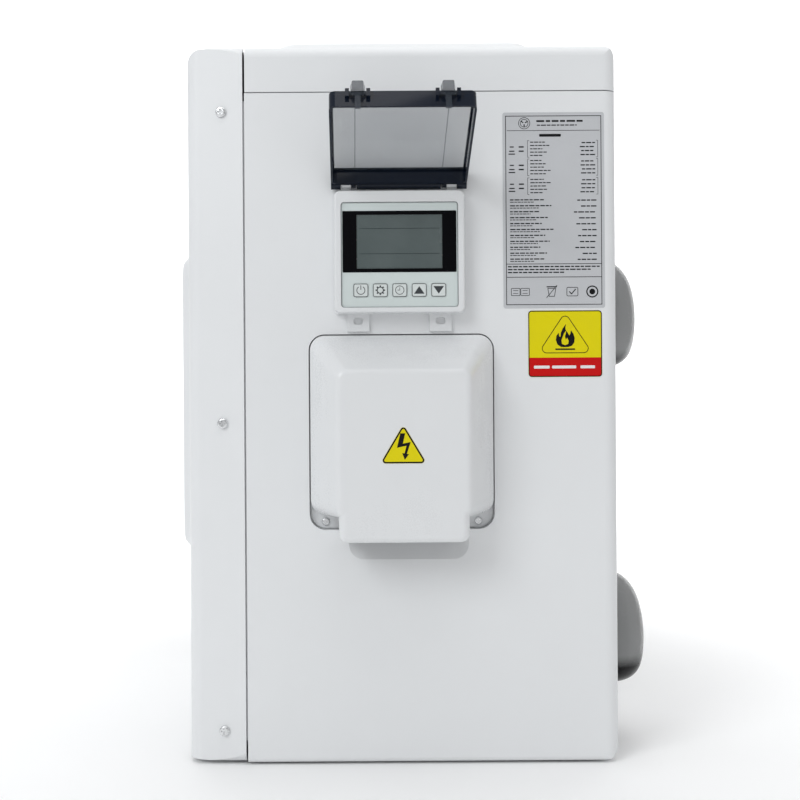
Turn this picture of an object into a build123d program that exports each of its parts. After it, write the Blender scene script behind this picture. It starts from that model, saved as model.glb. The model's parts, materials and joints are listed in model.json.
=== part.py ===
from build123d import *

import math
import os

# A pool heat pump: a wide plastic casing around a fan, a finned coil, a compressor and a water exchanger.
# Millimetres. +X is the length and the serviced end, -Y the fan side, +Z up. The origin is on the ground,
# at the centre of the four anchor holes.

# ---------- driving dimensions ----------

# Casing
LENGTH = 890
DEPTH = 357
SHOULDER_Z = 596
WALL = 3
CASING_Z = 2
LID_SEAM_Z = 557
SEAM_GAP = 0.9
PLATEAU_RISE = 8
PLATEAU_SLOPE = 8.5
PLATEAU_SIDE = 18
PLATEAU_CORNER = 18
PLATEAU_FRONT_Y = -110.5
PLATEAU_REAR_Y = 117.5
LID_TOP_RADIUS = 14
LID_END_RADIUS = 10
PANEL_REAR_RADIUS = 11
PANEL_FOOT_RADIUS = 14
PANEL_END_FOOT_RADIUS = 4
FOOT_FLANGE = 30
REAR_FOOT_FLANGE = 18
REAR_RETURN = 280
LEFT_RETURN = 20
FRONT_FLANGE = 48
FRONT_GAP = 1.5
LID_FRONT_GAP = 0.3
LID_SCREW_SPACING = 400
LID_SCREW_UP = 14
FRONT_DRAFT_X = 8
FRONT_DRAFT_Z = 2
FRONT_TOP_RADIUS = 12
FRONT_FOOT_RADIUS = 20
RIM_CORNER = 10
LIP = 2.5
LIP_GAP = 0.5
LIP_REACH = 34

# Raised band and fan collar of the front panel
BAND_RISE = 12
BAND_LENGTH = 770
BAND_HEIGHT = 271
BAND_Z = 301.5
BAND_SLOPE = 11.5
BAND_CORNER = 16
FAN_X = -135
FAN_Z = 300
FAN_SEAT_RADIUS = 212
COLLAR_LAND = 10
GRILLE_LIP = 12
GRILLE_THICK = 6
GRILLE_SINK = 3.5
GRILLE_RING = 15
GRILLE_PITCH = 16
GRILLE_WIRE = 3
GRILLE_HUB = 36
GRILLE_SPOKES = 12
GRILLE_GAP = 0.6
GUARD_THICK = 3
GUARD_PITCH_X = 29.5
GUARD_PITCH_Z = 52
GUARD_LAP = 8

# Base
TRAY_FLOOR_Z = 8
TRAY_WALL = 2
TRAY_HEIGHT = 22
TRAY_RADIUS = 12
TRAY_END_GAP = 13
TRAY_FRONT_Y = -160
TRAY_REAR_GAP = 4
RAIL_CORNER = 4
DRAIN_RADIUS = 12
DRAIN_SPACING = 300
DRAIN_Y = 60
RAIL_WIDTH = 40
RAIL_LENGTH = 254
ANCHOR_X = 600
ANCHOR_Y = 210
ANCHOR_RADIUS = 4.5

# Screws
SCREW_HEAD_RADIUS = 4.5
SCREW_HEAD = 2.8
SCREW_SHANK = 1.9
SCREW_LENGTH = 9
SCREW_CLEARANCE = 0.4
FLANGE_SCREW_BACK = 29.3
FLANGE_SCREW_Z = (28.2, 283.2, 541.5)
FOOT_SCREW_Y = (-60, 90)
SMALL_HEAD_RADIUS = 3.3
SMALL_HEAD = 2.0
SMALL_SCREW_LENGTH = 8

# Wiring cover and the pocket it sits in
COVER_Y = -0.9
COVER_WIDTH = 151
COVER_TOP_Z = 355.2
COVER_FOOT_Z = 207.8
COVER_RADIUS = 12
COVER_RISE = 48
COVER_STEP = 2
COVER_FACE_WIDTH = 106
COVER_FACE_TOP_Z = 325
COVER_FACE_FOOT_Z = 187.5
COVER_FACE_RADIUS = 8
COVER_WALL = 2.5
COVER_EDGE = 6
CHIN_STEP = 1
EAR_TOP_Z = 216
EAR_WIDTH = 25
EAR_THICK = 2
EAR_SCREW_Y = 63.5
EAR_SCREW_Z = 201
POCKET_GAP = 1.2
POCKET_DEPTH = 9
POCKET_FOOT_Z = 194.6
CHUTE_Y = 4.5
CHUTE_WIDTH = 85
CHUTE_FOOT_Z = 170
CHUTE_FLARE = 7
CHUTE_RADIUS = 12
CHUTE_ROUND = 5
GLAND_Z = 234
GLAND_OUT = 14
GLAND_SPACING = 44
GLAND_BORE = 6.5
GLAND_RADIUS = 11
GLAND_LENGTH = 24
GLAND_THREAD = 8
BRACKET_THICK = 2
BRACKET_WIDTH = 84
BRACKET_INSET = 18
BRACKET_UP = 14
GLAND_NUT = 6
WIRE_WAY_WIDTH = 50
WIRE_WAY_HEIGHT = 16
WIRE_WAY_Z = 335
TERMINAL_WIDTH = 104
TERMINAL_HEIGHT = 42
TERMINAL_DEPTH = 24
TERMINAL_Z = 288
TERMINAL_PITCH = 16
TERMINAL_COUNT = 6
TERMINAL_SCREW = 3.5

# Controller
CONTROL_Y = -2.35
CONTROL_Z = 420.5
FRAME_WIDTH = 110
FRAME_FOOT_Z = 372.6
FRAME_TOP_Z = 473.6
FRAME_BASE = 4
FRAME_RISE = 16
FRAME_SIDE_STEP = 1.6
FRAME_END_STEP = 0.4
FRAME_RADIUS = 5
FRAME_TAPER = 1.5
FRAME_ROUND = 1.6
FACIA_WIDTH = 95.3
FACIA_HEIGHT = 85.6
FACIA_THICK = 2.5
FACIA_SINK = 2
FACIA_GAP = 0.3
FACIA_RADIUS = 2.5
TUB_WIDTH = 88
TUB_HEIGHT = 78
TUB_WALL = 2
TUB_DEPTH = 36
TUB_GAP = 0.5
BEZEL_WIDTH = 92.9
BEZEL_HEIGHT = 50
BEZEL_Z = 431.3
BEZEL_SINK = 1
BEZEL_THICK = 1.3
BEZEL_RADIUS = 0.8
LCD_WIDTH = 70
LCD_HEIGHT = 44
LCD_SINK = 0.4
KEY_WIDTH = 11.9
KEY_HEIGHT = 10.8
KEY_PITCH = 15.9
KEY_Z = 391.5
KEY_PROUD = 0.8
KEY_GAP = 0.2
KEY_FLANGE = 0.8
KEY_TRAVEL = 0.6
BOARD_THICK = 1.6
TAB_WIDTH = 18.2
TAB_FOOT_Z = 360.9
TAB_SPREAD = 34
TAB_HOLE_WIDTH = 7.6
TAB_HOLE_HEIGHT = 5.6
TAB_HOLE_Z = 367
TAB_THICK = 3

# Flip-up window over the controller, swung open about its top hinge
HINGE_OUT = 6
HINGE_Z = 478.6
WINDOW_OPEN = 114
WINDOW_WIDTH = 111.5
WINDOW_LENGTH = 106
WINDOW_DEPTH = 14
WINDOW_WALL = 1.8
WINDOW_DROP = 2.7
WINDOW_SINK = 1.2
WINDOW_RADIUS = 5
BARREL_RADIUS = 3.4
BARREL_HALF = 34.5
LUG_FROM = 39.65
LUG_TO = 47.2
LUG_RADIUS = 2.2
KNUCKLE_GAP = 0.5
PIN_RADIUS = 1.3
PIN_GAP = 0.06
LATCH_OUT = 9
LATCH_DROP = 2.2
LATCH_BARREL = 1.8
LATCH_HALF = 6.1
LATCH_PIN = 1.2
LATCH_EAR = 3.4
TONGUE_LENGTH = 7.5
TONGUE_THICK = 6
EAR_GAP = 0.4
EAR_WALL = 3
NOSE_WIDTH = 4.4
NOSE_HEIGHT = 2.6
NOSE_REACH = 14

# Water ports on the rear
INLET_X = 353
INLET_Z = 98.8
OUTLET_X = 325
OUTLET_Z = 380
PIPE_BORE = 25.15
PIPE_DEPTH = 32
SOCKET_RADIUS = 33
SOCKET_OUT = 19
SHANK_RADIUS = 29
SHANK_GAP = 0.4
SOCKET_FLANGE = 38
SEAL_THICK = 1.5
FLANGE_THICK = 3
FLOW_RADIUS = 21
BEZEL_RING = 53
PORT_BASE = 4
HOOD_RADIUS = 50
HOOD_WALL = 2
HOOD_LIFT = 0.5
HOOD_PIVOT_UP = 53.5
HOOD_PIVOT_OUT = 7.5
HOOD_KNUCKLE = 3
HOOD_LUG = 8
HOOD_PIN = 1.5
HOOD_DEPTH = 31
SOCKET_RIBS = 16
SOCKET_RIB = 2
SHANK_END_Y = 140
# Each disc of a hood: its share of the depth, its radius over the rim's, and how far its centre sinks.
HOOD_FORM = (
    (0, 1, 0),
    (0.28, 0.98, 0.6),
    (0.56, 0.91, 2),
    (0.79, 0.78, 4),
    (0.94, 0.57, 6.5),
    (1, 0.33, 8.5),
)

# Refrigerant circuit and fan
PARTITION_X = 168
SHEET = 2
COIL_FROM_X = -418
COIL_TO_X = 140
COIL_FRONT_Y = 119
COIL_REAR_Y = 159
COIL_TOP_Z = 540
FIN_PITCH = 6
FIN_GROOVE = 4
FIN_GROOVE_DEPTH = 10
BEND_PITCH = 25
BEND_RADIUS = 4.8
COMPRESSOR_X = 250
COMPRESSOR_Y = -25
COMPRESSOR_RADIUS = 60
COMPRESSOR_Z = 40
COMPRESSOR_TOP_Z = 332
FOOT_CIRCLE = 70
GROMMET_RADIUS = 13
ACCUMULATOR_X = 335
ACCUMULATOR_Y = -70
ACCUMULATOR_RADIUS = 28
EXCHANGER_X = 339
EXCHANGER_Y = 90
EXCHANGER_RADIUS = 65
EXCHANGER_WALL = 4
EXCHANGER_Z = 45
EXCHANGER_TOP_Z = 418
CAP_THICK = 14
CAP_FLANGE = 5
HELIX_RADIUS = 42
HELIX_TUBE = 6
HELIX_PITCH = 24
HELIX_HEIGHT = 288
HELIX_Z = 82
CAN_DOME = 26
FOOT_PLATE = 4
FOOT_BOLT = 4
DISCHARGE_STUB = 4
DISCHARGE_Z = 366
ACCUMULATOR_Z = 70
ACCUMULATOR_TOP_Z = 283
VALVE_HALF = 45
VALVE_STUB = 4
PORT_STEP = 32
SOLENOID = 16
EXPANSION_HALF = 16
LIQUID_FOOT_Z = 80
BEND_Y = 132
HEADER_FOOT_Z = 260
HEADER_TOP_Z = 520
VALVE_Y = -60
VALVE_Z = 410
VALVE_RADIUS = 14
GAS_PIPE = 6
LIQUID_PIPE = 4
FAN_RADIUS = 190
FAN_Y = -140
BLADES = 5
BLADE_PITCH = 28
BLADE_THICK = 3
HUB_RADIUS = 45
HUB_LENGTH = 40
SHAFT_RADIUS = 5
SHAFT_GAP = 0.05
MOTOR_RADIUS = 50
MOTOR_LENGTH = 60
MOTOR_REAR_Y = -40
POST_SPREAD = 140
POST_WIDTH = 20
BRACKET_TOP_Z = 550
BLADE_ROOT = 58
BLADE_TIP = 104
BLADE_ROUND = 22
SHAFT_INSERT = 24
SHROUD_RADIUS = 203
SHROUD_WALL = 2.5
SHROUD_FLANGE = 10
SHROUD_LENGTH = 76
PARTITION_TOP_Z = 552
PIPE_WAY = 2
HEADER_X = 151
HEADER_Y = 150
HEADER_RADIUS = 7
LEFT_PIPE_Z = 448
SUCTION_Z = 468
LIQUID_Z = 198
EXPANSION_X = 205
BOARD_TRAY_Z = 484
BOARD_TRAY_TO_X = 425
BOARD_TRAY_Y = -5
BOARD_TRAY_WIDTH = 210
BOARD_TRAY_HEIGHT = 16
BOARD_LENGTH = 216
BOARD_WIDTH = 180
BOARD_STAND = 6
BOARD_PARTS = 22

# Labels
LABEL_THICK = 0.25
RATING_Y = 126
RATING_Z = 458
RATING_WIDTH = 84
RATING_HEIGHT = 162
GAS_LABEL_Y = 134.8
GAS_LABEL_Z = 347.5
GAS_LABEL_WIDTH = 61
GAS_LABEL_HEIGHT = 55
SHOCK_Y = -1.5
SHOCK_Z = 267
SHOCK_WIDTH = 37
SHOCK_HEIGHT = 31
SHOCK_ROUND = 2.5

# ---------- values that follow ----------

END_X = LENGTH / 2
FRONT_Y = -DEPTH / 2
REAR_Y = DEPTH / 2
SEAM_Y = FRONT_Y + FRONT_FLANGE
RIM_Y = SEAM_Y - FRONT_GAP / 2
EDGE_Y = SEAM_Y + FRONT_GAP / 2
PANEL_TOP_Z = LID_SEAM_Z - SEAM_GAP / 2
LID_FOOT_Z = LID_SEAM_Z + SEAM_GAP / 2
DRAFT_ANGLE = math.degrees(math.atan2(FRONT_DRAFT_X, RIM_Y - FRONT_Y))
TRAY_TOP_Z = TRAY_FLOOR_Z + TRAY_WALL
TRAY_REAR_Y = REAR_Y - TRAY_REAR_GAP
FACIA_FRONT = FRAME_RISE - FACIA_SINK
FACIA_BACK = FACIA_FRONT - FACIA_THICK
KEY_BACK = FACIA_BACK - KEY_GAP - KEY_FLANGE
BOARD_FRONT = KEY_BACK - KEY_TRAVEL - KEY_GAP
FRAME_MID_Z = (FRAME_FOOT_Z + FRAME_TOP_Z) / 2
WINDOW_PLANE = Plane(
    origin=(END_X + HINGE_OUT, CONTROL_Y, HINGE_Z),
    x_dir=(0, 1, 0),
    z_dir=(math.cos(math.radians(WINDOW_OPEN)), 0, math.sin(math.radians(WINDOW_OPEN))),
)
WINDOW_FAR = WINDOW_DROP + WINDOW_LENGTH
BAND_FACE_Y = FRONT_Y - BAND_RISE
GRILLE_SEAT_Y = BAND_FACE_Y + GRILLE_SINK + GRILLE_THICK
PORTS = ((INLET_X, INLET_Z), (OUTLET_X, OUTLET_Z))
FAN_PLANE = Plane(origin=(FAN_X, 0, FAN_Z), x_dir=(1, 0, 0), z_dir=(0, 0, 1))
FAN_AXIS = Axis((FAN_X, 0, FAN_Z), (0, 1, 0))
GRILLE_RADIUS = FAN_SEAT_RADIUS - GRILLE_GAP
SHROUD_FRONT_Y = GRILLE_SEAT_Y + WALL
SHROUD_REAR_Y = SHROUD_FRONT_Y + SHROUD_LENGTH
GUARD_FROM_X = -END_X + LEFT_RETURN - GUARD_LAP
GUARD_TO_X = END_X - REAR_RETURN + GUARD_LAP
GUARD_FOOT_Z = TRAY_FLOOR_Z + TRAY_HEIGHT + 2 * GRILLE_WIRE
GUARD_TOP_Z = PANEL_TOP_Z - GRILLE_WIRE
GUARD_COLUMNS = int((GUARD_TO_X - GUARD_FROM_X - 4 * GRILLE_WIRE) / GUARD_PITCH_X)
GUARD_ROWS = int((GUARD_TOP_Z - GUARD_FOOT_Z - 4 * GRILLE_WIRE) / GUARD_PITCH_Z)
TRAY_LENGTH = LENGTH - 2 * TRAY_END_GAP
DRAINS = ((-DRAIN_SPACING / 2, DRAIN_Y), (DRAIN_SPACING / 2, DRAIN_Y))
POCKET_WIDTH = COVER_WIDTH + 2 * POCKET_GAP
POCKET_HEIGHT = COVER_TOP_Z + POCKET_GAP - POCKET_FOOT_Z
POCKET_MID_Z = (COVER_TOP_Z + POCKET_GAP + POCKET_FOOT_Z) / 2
EAR_SCREWS = ((COVER_Y - EAR_SCREW_Y, EAR_SCREW_Z), (COVER_Y + EAR_SCREW_Y, EAR_SCREW_Z))
TUB_BACK = FACIA_BACK - TUB_DEPTH
KEY_SPOTS = [(CONTROL_Y + (step - 2) * KEY_PITCH, KEY_Z) for step in range(5)]
TABS = ((CONTROL_Y - TAB_SPREAD, TAB_HOLE_Z), (CONTROL_Y + TAB_SPREAD, TAB_HOLE_Z))
SOCKET_MOUTH_Y = REAR_Y + SOCKET_OUT
HOOD_Y = REAR_Y + PORT_BASE + HOOD_LIFT
CAP_TOP_Z = EXCHANGER_TOP_Z + CAP_THICK
FIN_COUNT = int((COIL_TO_X - COIL_FROM_X) / FIN_PITCH) - 1
BEND_HEIGHTS = [60 + 2 * BEND_PITCH * step for step in range(10)]
ELBOW_REACH = math.hypot(COMPRESSOR_X - ACCUMULATOR_X, COMPRESSOR_Y - ACCUMULATOR_Y)
ELBOW_Z = ACCUMULATOR_Z - 16
ACCUMULATOR_ELBOW = [
    (ACCUMULATOR_X, ACCUMULATOR_Y, ACCUMULATOR_Z + 2),
    (ACCUMULATOR_X, ACCUMULATOR_Y, ELBOW_Z),
    (
        COMPRESSOR_X + (ACCUMULATOR_X - COMPRESSOR_X) * COMPRESSOR_RADIUS / ELBOW_REACH,
        COMPRESSOR_Y + (ACCUMULATOR_Y - COMPRESSOR_Y) * COMPRESSOR_RADIUS / ELBOW_REACH,
        ELBOW_Z,
    ),
]
VALVE_TOP_Z = VALVE_Z + VALVE_RADIUS + VALVE_STUB
GAS_PORT_X = EXCHANGER_X - EXCHANGER_RADIUS / 3
GAS_PORT_Y = EXCHANGER_Y - EXCHANGER_RADIUS / 3
FEET = [
    (
        COMPRESSOR_X + FOOT_CIRCLE * math.cos(math.radians(turn)),
        COMPRESSOR_Y + FOOT_CIRCLE * math.sin(math.radians(turn)),
    )
    for turn in (30, 150, 270)
]
GLANDS = [
    (END_X + GLAND_OUT, COVER_Y + side * GLAND_SPACING / 2) for side in (-1, 1)
]
WINDOW_KNUCKLES = (
    (-BARREL_HALF, BARREL_HALF, BARREL_RADIUS),
    (BARREL_HALF + 2 * KNUCKLE_GAP, LUG_FROM - KNUCKLE_GAP, LUG_RADIUS),
    (-LUG_FROM + KNUCKLE_GAP, -BARREL_HALF - 2 * KNUCKLE_GAP, LUG_RADIUS),
    (LUG_TO + KNUCKLE_GAP, WINDOW_WIDTH / 2, BARREL_RADIUS),
    (-WINDOW_WIDTH / 2, -LUG_TO - KNUCKLE_GAP, BARREL_RADIUS),
)
FLANGE_SCREW_Y = FRONT_Y + FLANGE_SCREW_BACK
FLANGE_SCREW_X = END_X - FRONT_DRAFT_X * (RIM_Y - FLANGE_SCREW_Y) / (RIM_Y - FRONT_Y)
BASE = (Align.CENTER, Align.CENTER, Align.MIN)
HANGING = (Align.CENTER, Align.CENTER, Align.MAX)


# ---------- shared planes and shapes ----------


def on_end(out=0.0):
    """The serviced end's face, moved out along X; a sketch on it takes (Y, Z)."""
    return Plane(origin=(END_X + out, 0, 0), x_dir=(0, 1, 0), z_dir=(1, 0, 0))


def facing_front(y):
    """An upright plane at Y that faces the fan side; a sketch on it takes (X, Z)."""
    return Plane.XZ.offset(-y)


def level(z):
    """A level plane; a sketch on it takes (X, Y)."""
    return Plane.XY.offset(z)


def window_plane(out=0.0):
    """The window's own plane, whose x runs along the hinge and -y to the free edge."""
    return WINDOW_PLANE.offset(out)


def screw(head_radius, head, shank_radius, length):
    """A pan-head screw with a cross recess: its head sits on z 0 and its shank points down."""
    with BuildPart() as made:
        Cylinder(head_radius, head, align=BASE)
        fillet(made.edges().group_by(Axis.Z)[-1], 0.6 * head)
        with BuildSketch(level(head)):
            Rectangle(1.1 * head_radius, 0.24 * head_radius)
            Rectangle(0.24 * head_radius, 1.1 * head_radius)
        extrude(amount=-0.5 * head, mode=Mode.SUBTRACT)
        Cylinder(shank_radius, length, align=HANGING)
    return made.part


def pipe(points, bend, radius):
    """A pipe along straight runs joined by bends of one radius."""
    with BuildPart() as made:
        with BuildLine() as route:
            FilletPolyline(*points, radius=bend)
        with BuildSketch(Plane(origin=route.line @ 0, z_dir=route.line % 0)):
            Circle(radius)
        sweep()
    return made.part


def flange_screw_planes():
    """The seats of the six screws in the front panel's side flanges, square to the drafted flange."""
    lean = math.radians(DRAFT_ANGLE)
    return [
        Plane(
            origin=(side * FLANGE_SCREW_X, FLANGE_SCREW_Y, z),
            z_dir=(side * math.cos(lean), -math.sin(lean), 0),
        )
        for side in (-1, 1)
        for z in FLANGE_SCREW_Z
    ]


def lid_screw_planes():
    """The seats of the screws through the lid's rear skirt."""
    return [
        Plane(origin=(x, REAR_Y, LID_FOOT_Z + LID_SCREW_UP), z_dir=(0, 1, 0))
        for x in (-LID_SCREW_SPACING, 0, LID_SCREW_SPACING)
    ]


def foot_screw_planes():
    """The seats of the screws that hold the left end panel to the tray."""
    return [
        Plane(origin=(-END_X, y, TRAY_FLOOR_Z + TRAY_HEIGHT / 2), z_dir=(-1, 0, 0)) for y in FOOT_SCREW_Y
    ]


def grille_screw_planes():
    """The seats of the fan grille's screws, spaced round its outer ring."""
    spot = GRILLE_RADIUS - GRILLE_RING / 2
    return [
        Plane(
            origin=(
                FAN_X + spot * math.cos(math.radians(turn)),
                GRILLE_SEAT_Y - GRILLE_THICK,
                FAN_Z + spot * math.sin(math.radians(turn)),
            ),
            z_dir=(0, -1, 0),
        )
        for turn in (45, 135, 225, 315)
    ]


def ear_screw_planes():
    """The seats of the wiring cover's two screws, on its ears."""
    return [
        Plane(origin=(END_X + EAR_THICK - POCKET_DEPTH, y, z), z_dir=(1, 0, 0)) for y, z in EAR_SCREWS
    ]


# ---------- casing ----------


def front_blank(inset):
    """The front panel's solid outer form, drawn in by inset on every outer face."""
    half = END_X - inset
    low = CASING_Z + inset
    high = SHOULDER_Z - inset
    face_y = FRONT_Y + inset
    with BuildPart() as blank:
        with BuildSketch(Plane.YZ):
            with BuildLine():
                Polyline(
                    (RIM_Y, low),
                    (RIM_Y, high),
                    (face_y, high - FRONT_DRAFT_Z),
                    (face_y, low + FRONT_DRAFT_Z),
                    close=True,
                )
            make_face()
            front_corners = vertices().group_by(Axis.X)[0].sort_by(Axis.Y)
            fillet(front_corners[1], FRONT_TOP_RADIUS - inset)
            fillet(front_corners[0], FRONT_FOOT_RADIUS - inset)
        extrude(amount=half, both=True)
        with BuildSketch(Plane.XY):
            with BuildLine():
                Polyline(
                    (-half, RIM_Y),
                    (half, RIM_Y),
                    (half - FRONT_DRAFT_X, face_y),
                    (-half + FRONT_DRAFT_X, face_y),
                    close=True,
                )
            make_face()
            fillet(vertices().group_by(Axis.Y)[0], FRONT_TOP_RADIUS - inset)
        extrude(amount=SHOULDER_Z, mode=Mode.INTERSECT)
        with BuildSketch(facing_front(RIM_Y)):
            with Locations((0, (low + high) / 2)):
                RectangleRounded(2 * half, high - low, RIM_CORNER - inset)
        extrude(amount=FRONT_FLANGE, mode=Mode.INTERSECT)
        band_face_y = BAND_FACE_Y + inset
        for y, drawn_in in ((face_y, inset), (band_face_y, BAND_SLOPE + inset)):
            with BuildSketch(facing_front(y)):
                with Locations((0, BAND_Z)):
                    RectangleRounded(
                        BAND_LENGTH - 2 * drawn_in, BAND_HEIGHT - 2 * drawn_in, BAND_CORNER - inset
                    )
        loft()
        collar_top = FAN_SEAT_RADIUS + COLLAR_LAND - inset
        for y, radius in ((face_y, collar_top + BAND_SLOPE), (band_face_y, collar_top)):
            with BuildSketch(facing_front(y)):
                with Locations((FAN_X, FAN_Z)):
                    Circle(radius)
        loft()
    return blank.part


with BuildPart() as front_panel:
    add(front_blank(0))
    add(front_blank(WALL), mode=Mode.SUBTRACT)
    with BuildSketch(facing_front(GRILLE_SEAT_Y + WALL)):
        with Locations((FAN_X, FAN_Z)):
            Circle(FAN_SEAT_RADIUS + WALL)
    extrude(amount=GRILLE_SEAT_Y + WALL - BAND_FACE_Y)
    with BuildSketch(facing_front(GRILLE_SEAT_Y)):
        with Locations((FAN_X, FAN_Z)):
            Circle(FAN_SEAT_RADIUS)
    extrude(amount=BAND_RISE + WALL, mode=Mode.SUBTRACT)
    with BuildSketch(facing_front(GRILLE_SEAT_Y + WALL)):
        with Locations((FAN_X, FAN_Z)):
            Circle(FAN_SEAT_RADIUS - GRILLE_LIP)
    extrude(amount=WALL, mode=Mode.SUBTRACT)
    with Locations(*flange_screw_planes()):
        Cylinder(SCREW_SHANK + SCREW_CLEARANCE, 4 * WALL, mode=Mode.SUBTRACT)
    with Locations(*grille_screw_planes()):
        Cylinder(SCREW_SHANK, 8 * WALL, mode=Mode.SUBTRACT)


def lid_blank(inset):
    """The lid's solid outer form, drawn in by inset, with its raised flat top."""
    half = END_X - inset
    front_y = EDGE_Y + LID_FRONT_GAP + inset
    rear_y = REAR_Y - inset
    top = SHOULDER_Z - inset
    with BuildPart() as blank:
        with BuildSketch(Plane.YZ):
            with BuildLine():
                Polyline(
                    (front_y, LID_FOOT_Z),
                    (rear_y, LID_FOOT_Z),
                    (rear_y, top),
                    (front_y, top),
                    close=True,
                )
            make_face()
            fillet(vertices().sort_by(Axis.Y)[2:].sort_by(Axis.X)[-1], LID_TOP_RADIUS - inset)
        extrude(amount=half, both=True)
        with BuildSketch(facing_front(rear_y)):
            with BuildLine():
                Polyline((-half, LID_FOOT_Z), (half, LID_FOOT_Z), (half, top), (-half, top), close=True)
            make_face()
            fillet(vertices().group_by(Axis.Y)[-1], LID_END_RADIUS - inset)
        extrude(amount=DEPTH, mode=Mode.INTERSECT)
        with BuildSketch(level(LID_FOOT_Z)):
            with BuildLine():
                Polyline((-half, front_y), (half, front_y), (half, rear_y), (-half, rear_y), close=True)
            make_face()
            fillet(vertices().group_by(Axis.Y)[-1], PANEL_REAR_RADIUS - inset)
        extrude(amount=SHOULDER_Z, mode=Mode.INTERSECT)
        for rise, slope in ((0, 0), (PLATEAU_RISE, PLATEAU_SLOPE)):
            with BuildSketch(level(top + rise)):
                with Locations((0, (PLATEAU_FRONT_Y + PLATEAU_REAR_Y) / 2)):
                    RectangleRounded(
                        2 * (END_X - PLATEAU_SIDE - slope - inset),
                        PLATEAU_REAR_Y - PLATEAU_FRONT_Y - 2 * (slope + inset),
                        PLATEAU_CORNER - inset,
                    )
        loft()
    return blank.part


with BuildPart() as lid:
    add(lid_blank(0))
    add(lid_blank(WALL), mode=Mode.SUBTRACT)
    with Locations(*lid_screw_planes()):
        Cylinder(SCREW_SHANK + SCREW_CLEARANCE, 4 * WALL, mode=Mode.SUBTRACT)


def end_blank(inset, return_length, reach):
    """An end panel's solid outer form at +X, drawn in by inset and run on by reach past its open sides."""
    inner_x = END_X - return_length - reach
    outer_x = END_X - inset
    front_y = EDGE_Y - reach
    rear_y = REAR_Y - inset
    low = CASING_Z + inset
    high = PANEL_TOP_Z + reach
    with BuildPart() as blank:
        with BuildSketch(Plane.YZ.offset(inner_x)):
            with BuildLine():
                Polyline((front_y, low), (rear_y, low), (rear_y, high), (front_y, high), close=True)
            make_face()
            fillet(vertices().group_by(Axis.Y)[0].sort_by(Axis.X)[-1], PANEL_FOOT_RADIUS - inset)
        extrude(amount=outer_x - inner_x)
        with BuildSketch(level(low)):
            with BuildLine():
                Polyline(
                    (inner_x, front_y),
                    (outer_x, front_y),
                    (outer_x, rear_y),
                    (inner_x, rear_y),
                    close=True,
                )
            make_face()
            fillet(vertices().group_by(Axis.Y)[-1].sort_by(Axis.X)[-1], PANEL_REAR_RADIUS - inset)
        extrude(amount=high, mode=Mode.INTERSECT)
        with BuildSketch(facing_front(rear_y)):
            with BuildLine():
                Polyline((inner_x, low), (outer_x, low), (outer_x, high), (inner_x, high), close=True)
            make_face()
            fillet(vertices().group_by(Axis.Y)[0].sort_by(Axis.X)[-1], PANEL_END_FOOT_RADIUS - inset)
        extrude(amount=DEPTH, mode=Mode.INTERSECT)
    return blank.part


def end_panel(return_length):
    """An end panel at +X: its face, rear return and foot flange, and the lips under its two neighbours."""
    inner_x = END_X - WALL
    lip_x = inner_x - LIP_GAP
    tip_y = EDGE_Y - LIP_REACH
    tip_x = lip_x - FRONT_DRAFT_X * (RIM_Y - tip_y) / (RIM_Y - FRONT_Y)
    with BuildPart() as made:
        add(end_blank(0, return_length, 0))
        add(end_blank(WALL, return_length, 2 * WALL), mode=Mode.SUBTRACT)
        with BuildSketch(level(CASING_Z)):
            with BuildLine():
                Polyline(
                    (END_X - return_length, EDGE_Y),
                    (END_X - FOOT_FLANGE, EDGE_Y),
                    (END_X - FOOT_FLANGE, REAR_Y - REAR_FOOT_FLANGE),
                    (END_X - return_length, REAR_Y - REAR_FOOT_FLANGE),
                    close=True,
                )
            make_face()
        extrude(amount=WALL, mode=Mode.SUBTRACT)
        with BuildSketch(level(CASING_Z + 6 * WALL)):
            with BuildLine():
                Polyline(
                    (inner_x, EDGE_Y + 3 * WALL),
                    (inner_x, EDGE_Y),
                    (lip_x, RIM_Y),
                    (tip_x, tip_y),
                    (tip_x - LIP, tip_y),
                    (lip_x - LIP, RIM_Y),
                    (lip_x - LIP, EDGE_Y + 3 * WALL),
                    close=True,
                )
            make_face()
        extrude(amount=PANEL_TOP_Z - CASING_Z - 8 * WALL)
        with BuildSketch(facing_front(REAR_Y - 2 * PANEL_REAR_RADIUS)):
            with BuildLine():
                Polyline(
                    (inner_x, PANEL_TOP_Z - 4 * WALL),
                    (inner_x, PANEL_TOP_Z - WALL),
                    (lip_x, PANEL_TOP_Z),
                    (lip_x, LID_FOOT_Z + 4 * WALL),
                    (lip_x - LIP, LID_FOOT_Z + 4 * WALL),
                    (lip_x - LIP, PANEL_TOP_Z - 4 * WALL),
                    close=True,
                )
            make_face()
        extrude(amount=REAR_Y - EDGE_Y - 3 * PANEL_REAR_RADIUS)
        with Locations(*flange_screw_planes()):
            Cylinder(SCREW_SHANK, 8 * WALL, mode=Mode.SUBTRACT)
    return made.part


def chute_blank(back):
    """The scoop's solid form, grown by back: a flared mouth on the end face, narrower at its foot."""
    with BuildPart() as blank:
        for sunk, flare, foot_z in (
            (0, CHUTE_FLARE, CHUTE_FOOT_Z),
            (POCKET_DEPTH + back, 0, POCKET_FOOT_Z - WALL),
        ):
            with BuildSketch(on_end(-sunk)):
                with Locations((CHUTE_Y, POCKET_FOOT_Z + CHUTE_RADIUS)):
                    RectangleRounded(
                        CHUTE_WIDTH + 2 * (flare + back),
                        2 * (POCKET_FOOT_Z + CHUTE_RADIUS + back - foot_z),
                        CHUTE_RADIUS,
                    )
        loft()
    return blank.part


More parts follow.
